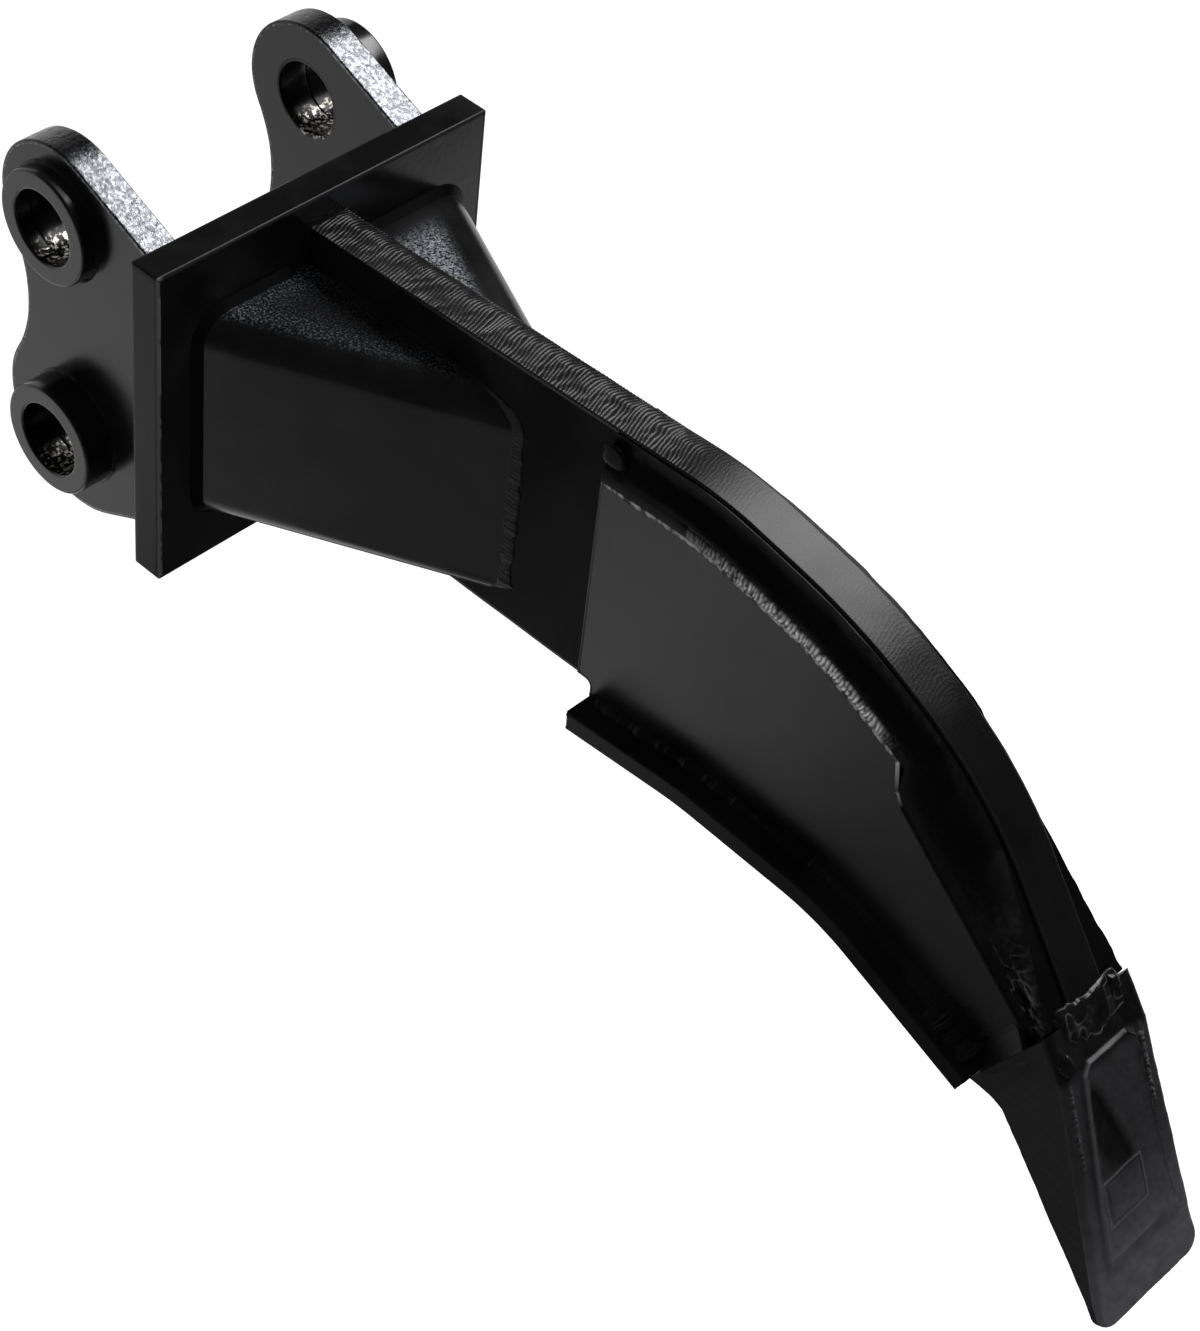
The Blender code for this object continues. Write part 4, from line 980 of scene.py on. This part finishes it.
def cheek_outline():
    """Upper edge, end at the tooth, lower edge along the shank's, and the notch over the strip's end."""
    follow, run = cheek_top()
    strip_top = between_x(shank_low(), STRIP_BACK_X, JOINT[0])
    end = joint_point(SHANK_END_HEIGHT) - (SEAT, 0)
    bottom = strip_top[strip_top[:, 0] < end[0] - 0.001]
    notch_top = (CHEEK_BACK_X, bottom[0, 1] + CHEEK_NOTCH)
    notch = rounded([notch_top, (STRIP_BACK_X, notch_top[1]), bottom[0]], (CHEEK_NOTCH_RADIUS,))
    upper = rounded([notch_top, follow[0], follow[3]], (0.001,))
    jog = rounded([follow[-4], *run], (0.002, 0.003))
    return np.vstack([upper[1:], follow[4:-4], jog, [end], bottom[::-1][:-1], notch[::-1]])


class RIPPER_OT_cheeks(bpy.types.Operator):
    """Cheek plates: their outline cut through Y, on both sides of the shank."""
    bl_idname = "ripper.cheeks"
    bl_label = "Cheeks"

    def execute(self, context):
        for side, sign in SIDES:
            low, high = sorted((sign * CHEEK_INNER_Y, sign * CHEEK_OUTER_Y))

            def relief(x, z, walked, depth):
                # A dotted pale line along the upper edge's outer arris, up to the jog: rubbed-through enamel,
                # painted as a highlight.
                line = ease(np.abs(depth), CHEEK_OUTER_Y - 0.0005, CHEEK_OUTER_Y - 0.0001) * (z > 0.035)
                dots = ease(swell(walked, 0, 0.0009, 78), -0.5, 0.3)
                return 0 * x * depth, line * (0.15 + 0.85 * dots) * fade(x, 0.309, 0.313)
            cut_plate(f"cheek_{side}", ("cheek_enamel", "cheek_rubbed_edge_painted_highlight"),
                      cheek_outline(), low, high, CHEEK_EDGE, 6, relief=relief)
        return {"FINISHED"}


def nearest_on(path, points):
    """For each point the nearest point of a path."""
    gaps = np.linalg.norm(points[:, None] - path[None], axis=2)
    return path[np.argmin(gaps, 1)]


class RIPPER_OT_cheek_welds(bpy.types.Operator):
    """Weld between a cheek's upper edge and the shank's own.

    A strip over (s, v), v from the cheek's edge to the shank's: its level falls from the cheek's face to a
    low rim by a 3t^2 - 2t^3 law. A stacked bead, a half circle times crescents, runs along the cheek. The
    rim lifts towards the tooth, and a burr lips over the shank's far edge. The crest value paints the stacked
    bead's crescents near white as glints, and by the tooth pale loops along the zero lines of a random field
    as highlights.
    """
    bl_idname = "ripper.cheek_welds"
    bl_label = "Cheek welds"

    def execute(self, context):
        follow, run = cheek_top()
        edge = even(offset(shank_top(), -0.0010), 0.0002)
        inner = even(np.vstack([follow, run]), 0.00035)
        outer = nearest_on(edge, inner)
        outer = np.stack([np.convolve(np.pad(c, 9, "edge"), np.ones(19) / 19, "valid") for c in outer.T], 1)
        outer[-1] = (JOINT[0] - 0.0013, JOINT[1])
        walked = lengths(inner)[:, None]
        reach = np.linalg.norm(outer - inner, axis=1)[:, None]
        toward = unit(outer - inner)[:, None, :]
        x = outer[:, :1]
        at = np.linspace(0, 1, 56)[None] ** 1.4 * reach
        build_up = RISE_HEIGHT * np.clip((x - RISE_X) / (JOINT[0] - RISE_X), 0, 1) ** 1.15
        burr = BURR_HEIGHT * ease(x, 0.236, 0.246) * fade(x, 0.3170, 0.3195)
        burr = burr * (1 + 0.18 * swell(walked, 0, 0.0022, 85))
        bow = 0.45 * (2 * np.clip(at / STACK_WIDTH, 0, 1) - 1) ** 2
        bow = walked / STACK_PITCH + bow + 0.7 * swell(walked, at * 0.4, 0.003, 83)
        lap = np.abs(np.sin(math.pi * bow))
        hump = np.sqrt(np.clip(1 - (2 * at / STACK_WIDTH - 1) ** 2, 0, 1))
        grown = (0.10 + 0.90 * ease(x, 0.210, 0.250)) * fade(x, 0.308, 0.314)
        bead = hump * (0.0009 + 0.0006 * lap) * grown
        # Painted highlights: the crest paints the stacked bead's crescents near white, and by the tooth pale
        # loops on the run-out.
        crest = np.clip(hump * (0.05 + 1.2 * lap ** 1.5) * (0.01 + 0.99 * ease(x, 0.224, 0.256)), 0, 1)
        patchy = np.clip(0.7 + 0.8 * swell(walked, at, 0.0010, 88), 0.1, 1.2)
        crest = crest * fade(x, 0.303, 0.311) * patchy
        loops = bell(swell(walked, at, 0.0042, 89), 0, 0.06)
        loops = loops * ease(x, 0.360, 0.370) * ease(at, 0.002, 0.005) * fade(at / reach, 0.70, 0.95)
        crest = np.clip(crest + 0.45 * loops, 0, 1)
        slot = np.where((at < 0.0044) & (x > 0.222) & (x < 0.3125), 0, 1)[:-1, :-1]
        drift = 0.00018 * swell(walked, at, 0.007, 81) + 0.00006 * swell(walked, at, 0.0025, 82)
        rough = 0.0005 * swell(walked, at, 0.0042, 84) + 0.00015 * swell(walked, at, 0.0016, 86)
        drift = drift + ease(x, RISE_X, 0.372) * rough
        for side, sign in SIDES:
            rim = CHEEK_INNER_Y + 0.0006 + build_up + (burr if sign > 0 else 0)
            level = CHEEK_OUTER_Y - 0.0003 + (rim - CHEEK_OUTER_Y + 0.0003) * ease(at, 0.003, reach * 0.92)
            level = level + bead + drift * ease(at, 0.0034, 0.006)
            flat = inner[:, None, :] + toward * at[..., None]
            under = at_y(flat, sign * (CHEEK_INNER_Y - SEAT))
            skin = Skin()
            patch(skin, at_y(flat, sign * level), under, crest, slot)
            if sign < 0:
                lump(skin, *CHEEK_LUMP, 0.08)
            skin.piece(f"weld_cheek_{side}", ("stacked_weld_painted_glints", "run_out_enamel_painted_loops"), 50)
        return {"FINISHED"}


def strip_end_x():
    """X of the wear strip's end, a gap short of the joint's lower end."""
    return joint_point(SHANK_END_HEIGHT)[0] - STRIP_END_GAP


class RIPPER_OT_wear_strip(bpy.types.Operator):
    """Wear strip: the shank's lower edge and its offset by the strip's thickness, cut through Y."""
    bl_idname = "ripper.wear_strip"
    bl_label = "Wear strip"

    def execute(self, context):
        low_edge = offset(between_x(shank_low(), STRIP_BACK_X, strip_end_x()), -SEAT)
        outline = np.vstack([low_edge, offset(low_edge, -STRIP_THICKNESS)[::-1]])
        cut_plate("wear_strip", ("bar_enamel", "bar_enamel"), outline, -STRIP_HALF_WIDTH,
                  STRIP_HALF_WIDTH, STRIP_EDGE, 24)
        return {"FINISHED"}


class RIPPER_OT_strip_welds(bpy.types.Operator):
    """Fillets between cheeks and strip: small and smooth, then broad and rough by the tooth."""
    bl_idname = "ripper.strip_welds"
    bl_label = "Wear strip welds"

    def execute(self, context):
        path = even(between_x(shank_low(), STRIP_BACK_X + 0.003, strip_end_x() - 0.003), 0.0004)
        up = at_y(left_normals(path), 0)
        share = ease(np.linspace(0, 1, len(path)), 0.74, 0.95)
        leg = STRIP_BEAD_LEG + STRIP_BEAD_GROWTH * share
        for side, sign in SIDES:
            corner = at_y(path - (0, SEAT), sign * CHEEK_OUTER_Y)
            weld_bead(f"weld_strip_{side}", "bar_enamel", corner, (0, sign, 0), up, leg, leg, 91, crown=0.06,
                      ripple=0.01 + 0.05 * share[:, None, None], wander=0.25)
        return {"FINISHED"}


def tooth_frame():
    """Unit vectors down the tooth's front and out of it, its upper front point and its length."""
    front = np.array([JOINT[0] + SHOULDER[0], JOINT[1] - SHOULDER[1]])
    tip = np.array([JOINT[0] + TIP[0], JOINT[1] - TIP[1]])
    down = unit(tip - front)
    return down, np.array([-down[1], down[0]]), front, np.linalg.norm(tip - front)


def pad_relief(along, across):
    """Height and painted light and shade of the front: a raised panel with a rim, a hollow, a small blank pad
    and slag loops.

    The panel's height follows the inset from its nearest edge; the rim is a bell round an inset of 1 mm. The
    hollow lies left of a slanted line and fades to the right. The loops are rows of |sin| down both sides.
    The second value paints highlights on the rim's near side, round the blank pad and on the loops, and shade
    in the hollow.
    """
    half = PAD_HALF_TOP + (PAD_HALF_LOW - PAD_HALF_TOP) * along / PAD_LENGTH
    corner = (half - np.abs(across) + along - 0.0010) * 0.7071
    end = (PAD_LENGTH - along) * 0.15
    inset = np.minimum(np.minimum(half - np.abs(across), along + 0.0024), np.minimum(corner, end))
    panel = PAD_RELIEF * ease(inset, -0.0002, 0.0010)
    rim = 0.00028 * bell(inset, 0.0010, 0.0005) * fade(along, 0.060, 0.070)
    brink = -0.0061 + 0.35 * (along - 0.0107) - across
    hollow = ease(brink, -0.0012, 0.0042) * (1 - 0.9 * ease(brink, 0.004, 0.018))
    hollow = hollow * ease(inset, 0.0010, 0.0030) * ease(along, 0.000, 0.012) * fade(along, 0.034, 0.046)
    inner = np.minimum(along - 0.0390, 0.0560 - along)
    inner = np.minimum(inner, np.minimum(across + 0.0140, 0.0050 - across))
    blank = 0.00030 * ease(inner, 0.0, 0.0006) - 0.00030 * bell(inner, 0.0014, 0.0005)
    side = np.where(across > 0, 0.0152 + 0.02 * along, 0.0188 + 0.01 * along)
    row = bell(np.abs(across), side, 0.0011) * ease(along, -0.002, 0.004) * fade(along, 0.026, 0.036)
    loops = row * np.abs(np.sin(math.pi * (along / 0.0024 + 0.8 * swell(along, across, 0.003, 105))))
    # Painted light: highlights on the rim's near side, round the blank pad and on the loops; painted shade in
    # the hollow.
    worn = 0.9 * bell(inset, 0.0007, 0.0003) * ease(-across, -0.010, -0.002) * (along < 0.066)
    worn = worn + 0.5 * bell(inner, 0.0003, 0.0003) - 0.35 * hollow + 0.3 * loops ** 3
    return panel + rim - 0.0007 * hollow + blank + 0.0011 * loops, worn


class RIPPER_OT_tooth(bpy.types.Operator):
    """Tooth: a loft from the joint to the tip, at each share of its length a rounded four-sided section.

    The back is hollowed by a law that rises over the first part and falls straight to the tip, the front
    carries the panel's relief, and random swells roughen the forged faces. The crest value makes the front
    paler towards the tip and carries the panel's painted highlights and painted shade.
    """
    bl_idname = "ripper.tooth"
    bl_label = "Tooth"

    def execute(self, context):
        down, out, front, length = tooth_frame()
        tip = front + down * length
        joint_top = np.array([JOINT[0] + SEAT, JOINT[1]])
        joint_back = joint_point(BACK_REACH) + (SEAT, 0)
        tip_back = tip - out * TIP_THICKNESS
        turned = np.linspace(0, math.pi / 2, 14)
        share = np.concatenate([np.linspace(0, 1 - TIP_CORNER / length, 240)[:-1],
                                1 - TIP_CORNER / length * (1 - np.sin(turned))])[:, None]
        neck = np.linspace(0, 1, 40)[:-1, None]
        fronts = np.vstack([joint_top + (front - joint_top) * neck, front + down * share * length])
        back_share = np.vstack([neck * SCALLOP_SHARE, SCALLOP_SHARE + (1 - SCALLOP_SHARE) * share])
        rise = np.sin(math.pi / 2 * np.clip(back_share / SCALLOP_SHARE, 0, 1))
        dip = SCALLOP * rise * np.minimum(1, (1 - back_share) / (1 - SCALLOP_SHARE))
        back_down = unit(tip_back - joint_back)
        backs = joint_back + (tip_back - joint_back) * back_share
        backs = backs + np.array([-back_down[1], back_down[0]]) * dip
        into = np.clip(TIP_CORNER - (1 - share) * length, 0, TIP_CORNER)
        cut = TIP_CORNER - np.sqrt(TIP_CORNER ** 2 - into ** 2)
        front_half = FRONT_HALF_WIDTH + (TIP_HALF_WIDTH - FRONT_HALF_WIDTH) * share - cut
        back_half = CHEEK_OUTER_Y + (TIP_HALF_WIDTH - CHEEK_OUTER_Y) * share - cut
        front_half = np.vstack([NECK_HALF_WIDTH + (front_half[0] - NECK_HALF_WIDTH) * neck, front_half])
        back_half = np.vstack([CHEEK_OUTER_Y + 0 * neck, back_half])
        inward = unit(backs - fronts)
        depth = np.linalg.norm(backs - fronts, axis=1)[:, None]
        r = np.minimum(TOOTH_EDGE, depth * 0.3)
        turn = np.linspace(0, math.pi / 2, 7)[None]
        side = np.linspace(0, 1, 24)[None, 1:-1]

        def one_side(sign):
            """(across, depth) from the front's edge round to the back's edge on one side."""
            first = (front_half - r + r * np.sin(turn), r - r * np.cos(turn))
            wall = (front_half + (back_half - front_half) * side, r + (depth - 2 * r) * side)
            last = (back_half - r + r * np.cos(turn), depth - r + r * np.sin(turn))
            return sign * np.hstack([first[0], wall[0], last[0]]), np.hstack([first[1], wall[1], last[1]])
        plus, minus = one_side(1.0), one_side(-1.0)
        front_y = (front_half - r) * np.linspace(-1, 1, 130)[None, 1:-1]
        back_y = (back_half - r) * np.linspace(1, -1, 20)[None, 1:-1]
        across = np.hstack([front_y, plus[0], back_y, minus[0][:, ::-1]])
        deep = np.hstack([0 * front_y, plus[1], depth + 0 * back_y, minus[1][:, ::-1]])
        points = fronts[:, None, :] + inward[:, None, :] * deep[..., None]
        along = (points - front) @ down
        walls = 0.00016 * swell(along, across, 0.005, 101) + 0.00007 * swell(along, across, 0.0017, 102)
        panel, brink = pad_relief(along, across)
        facing = (deep < r * 1.01) * ease(along, -0.0050, -0.0020)
        lift = panel * facing + walls * (deep < r)
        wide = across + np.sign(across) * walls * (deep >= r)
        grid = at_y(points + out * lift[..., None], wide)
        # Crest: paler towards the tip, plus the panel's painted highlights and painted shade.
        wear = (0.25 + 0.75 * ease(along, 0.030, 0.085)) * (0.85 + 0.12 * swell(along, across, 0.0030, 103))
        wear = (wear * ease(along, -0.002, 0.003) + brink) * facing
        skin = Skin()
        skin.grid(grid, 0, True, np.clip(wear, 0, 1))
        skin.fan(grid[0])
        skin.fan(grid[-1])
        skin.piece("tooth", ("forged_enamel_painted_light",), 45)
        return {"FINISHED"}


class RIPPER_OT_tooth_weld(bpy.types.Operator):
    """Weld round the tooth's root.

    Over the top, a strip across the joint follows the shank's edge and the tooth's shoulder: a low crown
    with steps at both toes, thin loops along the zero lines of a random field, and random swells. Down each
    side a skin bridges the seam: its level goes from the cheek's face to the tooth's by a 3t^2 - 2t^3 law.
    Three low lumps close the corners.
    """
    bl_idname = "ripper.tooth_weld"
    bl_label = "Tooth welds"

    def execute(self, context):
        joint = np.array(JOINT)
        up = unit(shank_top()[-8] - shank_top()[-1])
        low = unit(np.array([SHOULDER[0], -SHOULDER[1]]))
        off_up, off_low = np.array([up[1], -up[0]]), np.array([-low[1], low[0]])
        skin = Skin()
        y = np.linspace(-JOINT_WELD_HALF, JOINT_WELD_HALF, 130)[:, None]
        t = np.linspace(-1, 1, 80)[None]
        toe = 1 + 0.22 * swell(y, 0, 0.0055, 111) + 0.10 * swell(y, 0, 0.0020, 112)
        s = np.where(t < 0, JOINT_WELD_UP * toe, JOINT_WELD_DOWN * (2 - toe)) * t
        s = s * (1 - 0.45 * ease(np.abs(y), 0.0125, JOINT_WELD_HALF))
        base = joint + np.where(s[..., None] < 0, -s[..., None] * up, s[..., None] * low)
        normal = unit(off_up + (off_low - off_up) * ease(s, -0.0025, 0.0030)[..., None])
        body = 1 - t ** 6
        loops = bell(swell(y, s, 0.0036, 113), 0, 0.07) * ease(np.abs(y), 0.002, 0.008) * body
        height = 0.00035 * body + 0.0010 * (1 - t ** 2) + 0.00012 * loops
        height = height + (0.00055 * swell(y, s, 0.0050, 114) + 0.00016 * swell(y, s, 0.0018, 115)) * body
        drop = 0.0050 * ease(np.abs(y), 0.0122, 0.0176)
        place = base + normal * (height - drop)[..., None]
        under = base - normal * (0.0008 + drop)[..., None]
        # Painted highlights: pale irregular lines along both toes and on the loops.
        toes = bell(np.abs(t), 0.93, 0.035) * ease(swell(y, t, 0.0030, 116), -0.6, 0.4)
        ends = fade(np.abs(y), 0.0115, 0.0140)
        patch(skin, at_y(place, y), at_y(under, y), (0.7 * toes + 0.45 * loops) * ends)
        t = np.linspace(-1, 1, 40)[None]
        start = np.linalg.norm(cheek_top()[1][-1] - joint) + 0.0010 * t
        reach = start + (SHANK_END_HEIGHT + 0.004 - start) * np.linspace(0, 1, 90)[:, None]
        square = np.array([math.cos(JOINT_LEAN), -math.sin(JOINT_LEAN)])
        down = np.array([-math.sin(JOINT_LEAN), -math.cos(JOINT_LEAN)])
        face = joint + down * reach[..., None] + square * (SEAM_HALF_WIDTH * t)[..., None]
        tooth_side = NECK_HALF_WIDTH + (CHEEK_OUTER_Y - NECK_HALF_WIDTH) * reach / BACK_REACH
        rough = fade(reach, 0.010, 0.024)
        level = CHEEK_OUTER_Y + 0.00004 + (tooth_side + 0.0004 - CHEEK_OUTER_Y) * ease(t, -0.95, 0.60)
        level = level + 0.00012 * rough * swell(reach, t * 0.008, 0.0035, 117) * (1 - t ** 2)
        level = level - 0.0012 * (fade(1 - np.abs(t), 0.0, 0.16) + fade(reach - start, 0, 0.0012))
        for sign in (-1, 1):
            patch(skin, at_y(face, sign * level), at_y(face, sign * (CHEEK_OUTER_Y - 0.0006)), 0.0, 1)
        for center, size, seed in TOOTH_LUMPS:
            lump(skin, center, size, seed, 0.22, 0)
        skin.piece("weld_tooth", ("root_weld_enamel_painted_highlights", "forged_enamel_painted_light"), 60)
        return {"FINISHED"}


# Low lumps of weld metal at the corners of the tooth's root: centre, radii and seed
TOOTH_LUMPS = (
    ((0.3770, -0.0120, -0.0055), (0.0050, 0.0036, 0.0056), 131),
    ((0.3790, 0.0105, -0.0040), (0.0042, 0.0034, 0.0044), 132),
    ((0.3862, -0.0165, -0.0130), (0.0036, 0.0028, 0.0048), 133),
)


# Stage

# Cards that the gloss paint mirrors, as round any black product: name, brightness, and the lowest and
# highest corner of a rectangle square to one axis
CARDS = (
    ("card_above", 0.05, (-2.5, -2.5, 1.6), (2.9, 2.5, 1.6)),
    ("card_low_near", 0.18, (0.06, -0.34, CARD_Z), (2.6, 0.02, CARD_Z)),
    ("card_low_bright", 0.34, (0.06, -0.64, CARD_Z), (2.6, -0.34, CARD_Z)),
    ("card_low_front", 0.05, (0.06, -2.5, CARD_Z), (2.6, -0.64, CARD_Z)),
    ("card_low_ear", 0.12, (-0.25, -0.60, CARD_Z), (-0.17, -0.20, CARD_Z)),
    ("card_front", 0.06, (-2.5, -2.5, CARD_Z), (2.9, -2.5, 1.6)),
    ("card_low_back", 0.05, (-2.0, 0.02, CARD_Z), (2.6, 0.42, CARD_Z)),
    ("card_low_far", 0.12, (0.5, 0.42, CARD_Z), (2.6, 2.5, CARD_Z)),
    ("card_right", 0.08, (2.6, -2.0, CARD_Z), (2.6, 2.5, 1.6)),
    ("card_back", 0.04, (-2.5, 2.5, 0.1), (2.6, 2.5, 1.6)),
)


def card_corners(low, high):
    """The four corners of a rectangle square to one axis, in two rows."""
    xs, ys, zs = (sorted({a, b}) for a, b in zip(low, high))
    return np.array([(x, y, z) for z in zs for y in ys for x in xs]).reshape(2, 2, 3)


def seen_rays(tree):
    """1 for camera, glossy and transmission rays and 0 for the others."""
    path = node(tree, "LightPath").node
    first = node(tree, "Math", {0: path.outputs["Is Camera Ray"], 1: path.outputs["Is Glossy Ray"]},
                 operation="MAXIMUM")
    return node(tree, "Math", {0: first, 1: path.outputs["Is Transmission Ray"]}, operation="MAXIMUM")


def glow(name, level, matt=0.0):
    """A card or floor finish: it glows to the rays that see it, and its matt part takes the shadow."""
    material = bpy.data.materials.new(name)
    tree = empty_tree(material)
    strength = seen_rays(tree) if matt else 1.0
    shine = node(tree, "Emission", {"Color": (level, level, level, 1), "Strength": strength})
    if matt:
        base = node(tree, "BsdfDiffuse", {"Color": (matt, matt, matt, 1)})
        shine = node(tree, "AddShader", {0: shine, 1: base})
    node(tree, "OutputMaterial", {0: shine})
    MATERIALS[name] = material


class RIPPER_OT_stage(bpy.types.Operator):
    """White floor and world, dark cards, a softbox and the camera at the photograph's angle."""
    bl_idname = "ripper.stage"
    bl_label = "Stage"

    def execute(self, context):
        scene = context.scene
        world = bpy.data.worlds.new("white_studio")
        tree = empty_tree(world)
        strength = node(tree, "MapRange", {"Value": seen_rays(tree), "To Min": 0.4, "To Max": 1.0})
        sky = node(tree, "Background", {"Strength": strength, "Color": (1, 1, 1, 1)})
        node(tree, "OutputWorld", {0: sky})
        scene.world = world

        glow("white_sweep", 0.82, 0.40)
        floor = Skin()
        line = np.linspace(-4, 4, 5)
        floor.grid(in_xz(line[:, None] + 0.2, FLOOR_Z, line[None]))
        floor.done("floor", ("white_sweep",))
        for name, level, low, high in CARDS:
            glow(name, level)
            card = Skin()
            card.grid(card_corners(low, high))
            obj = card.done(name, (name,))
            obj.visible_camera = obj.visible_diffuse = obj.visible_shadow = obj.visible_transmission = False

        lamp = bpy.data.lights.new("softbox", "AREA")
        lamp.shape = "RECTANGLE"
        lamp.size, lamp.size_y = LAMP_SIZE
        lamp.energy = scene.ripper.lamp_power
        softbox = bpy.data.objects.new("softbox", lamp)
        toward = Vector(LAMP_TOWARD).normalized()
        softbox.location = Vector(LAMP_AIM) + toward * LAMP_DISTANCE
        softbox.rotation_euler = toward.to_track_quat("Z", "Y").to_euler()
        scene.collection.objects.link(softbox)

        azimuth, elevation, roll = (math.radians(angle) for angle in CAMERA_ANGLES)
        level = math.cos(elevation)
        right = Vector((math.cos(azimuth), math.sin(azimuth), 0))
        back = Vector((math.sin(azimuth) * level, -math.cos(azimuth) * level, math.sin(elevation)))
        up = back.cross(right)
        across = right * math.cos(roll) + up * math.sin(roll)
        upright = up * math.cos(roll) - right * math.sin(roll)
        turn = Matrix((across, upright, back)).transposed()
        lens = bpy.data.cameras.new("camera")
        lens.lens = CAMERA_LENS
        lens.sensor_width = CAMERA_SENSOR
        lens.sensor_fit = "HORIZONTAL"
        camera = bpy.data.objects.new("camera", lens)
        camera.matrix_world = Matrix.Translation(CAMERA_PLACE) @ turn.to_4x4()
        scene.collection.objects.link(camera)
        scene.camera = camera
        scene.view_settings.view_transform = "Standard"
        return {"FINISHED"}


OPERATORS = (
    RIPPER_OT_base_plate, RIPPER_OT_ears, RIPPER_OT_collars, RIPPER_OT_ear_welds, RIPPER_OT_shank,
    RIPPER_OT_side_boxes, RIPPER_OT_box_welds, RIPPER_OT_root_welds, RIPPER_OT_cheeks, RIPPER_OT_cheek_welds,
    RIPPER_OT_wear_strip, RIPPER_OT_strip_welds, RIPPER_OT_tooth, RIPPER_OT_tooth_weld, RIPPER_OT_stage,
)


class RIPPER_PT_panel(bpy.types.Panel):
    """Settings of the dressing and one button for each operator."""
    bl_idname = "RIPPER_PT_panel"
    bl_label = "Ripper shank tooth"
    bl_space_type = "VIEW_3D"
    bl_region_type = "UI"
    bl_category = "Ripper"

    def draw(self, context):
        for name in RipperSettings.__annotations__:
            self.layout.prop(context.scene.ripper, name)
        for operator in OPERATORS:
            self.layout.operator(operator.bl_idname)


CLASSES = (RipperSettings, *OPERATORS, RIPPER_PT_panel)


def register():
    for item in CLASSES:
        bpy.utils.register_class(item)
    bpy.types.Scene.ripper = bpy.props.PointerProperty(type=RipperSettings)


def unregister():
    del bpy.types.Scene.ripper
    for item in reversed(CLASSES):
        bpy.utils.unregister_class(item)


def main():
    register()
    for operator in OPERATORS:
        group, name = operator.bl_idname.split(".")
        getattr(getattr(bpy.ops, group), name)()


if __name__ == "__main__":
    main()
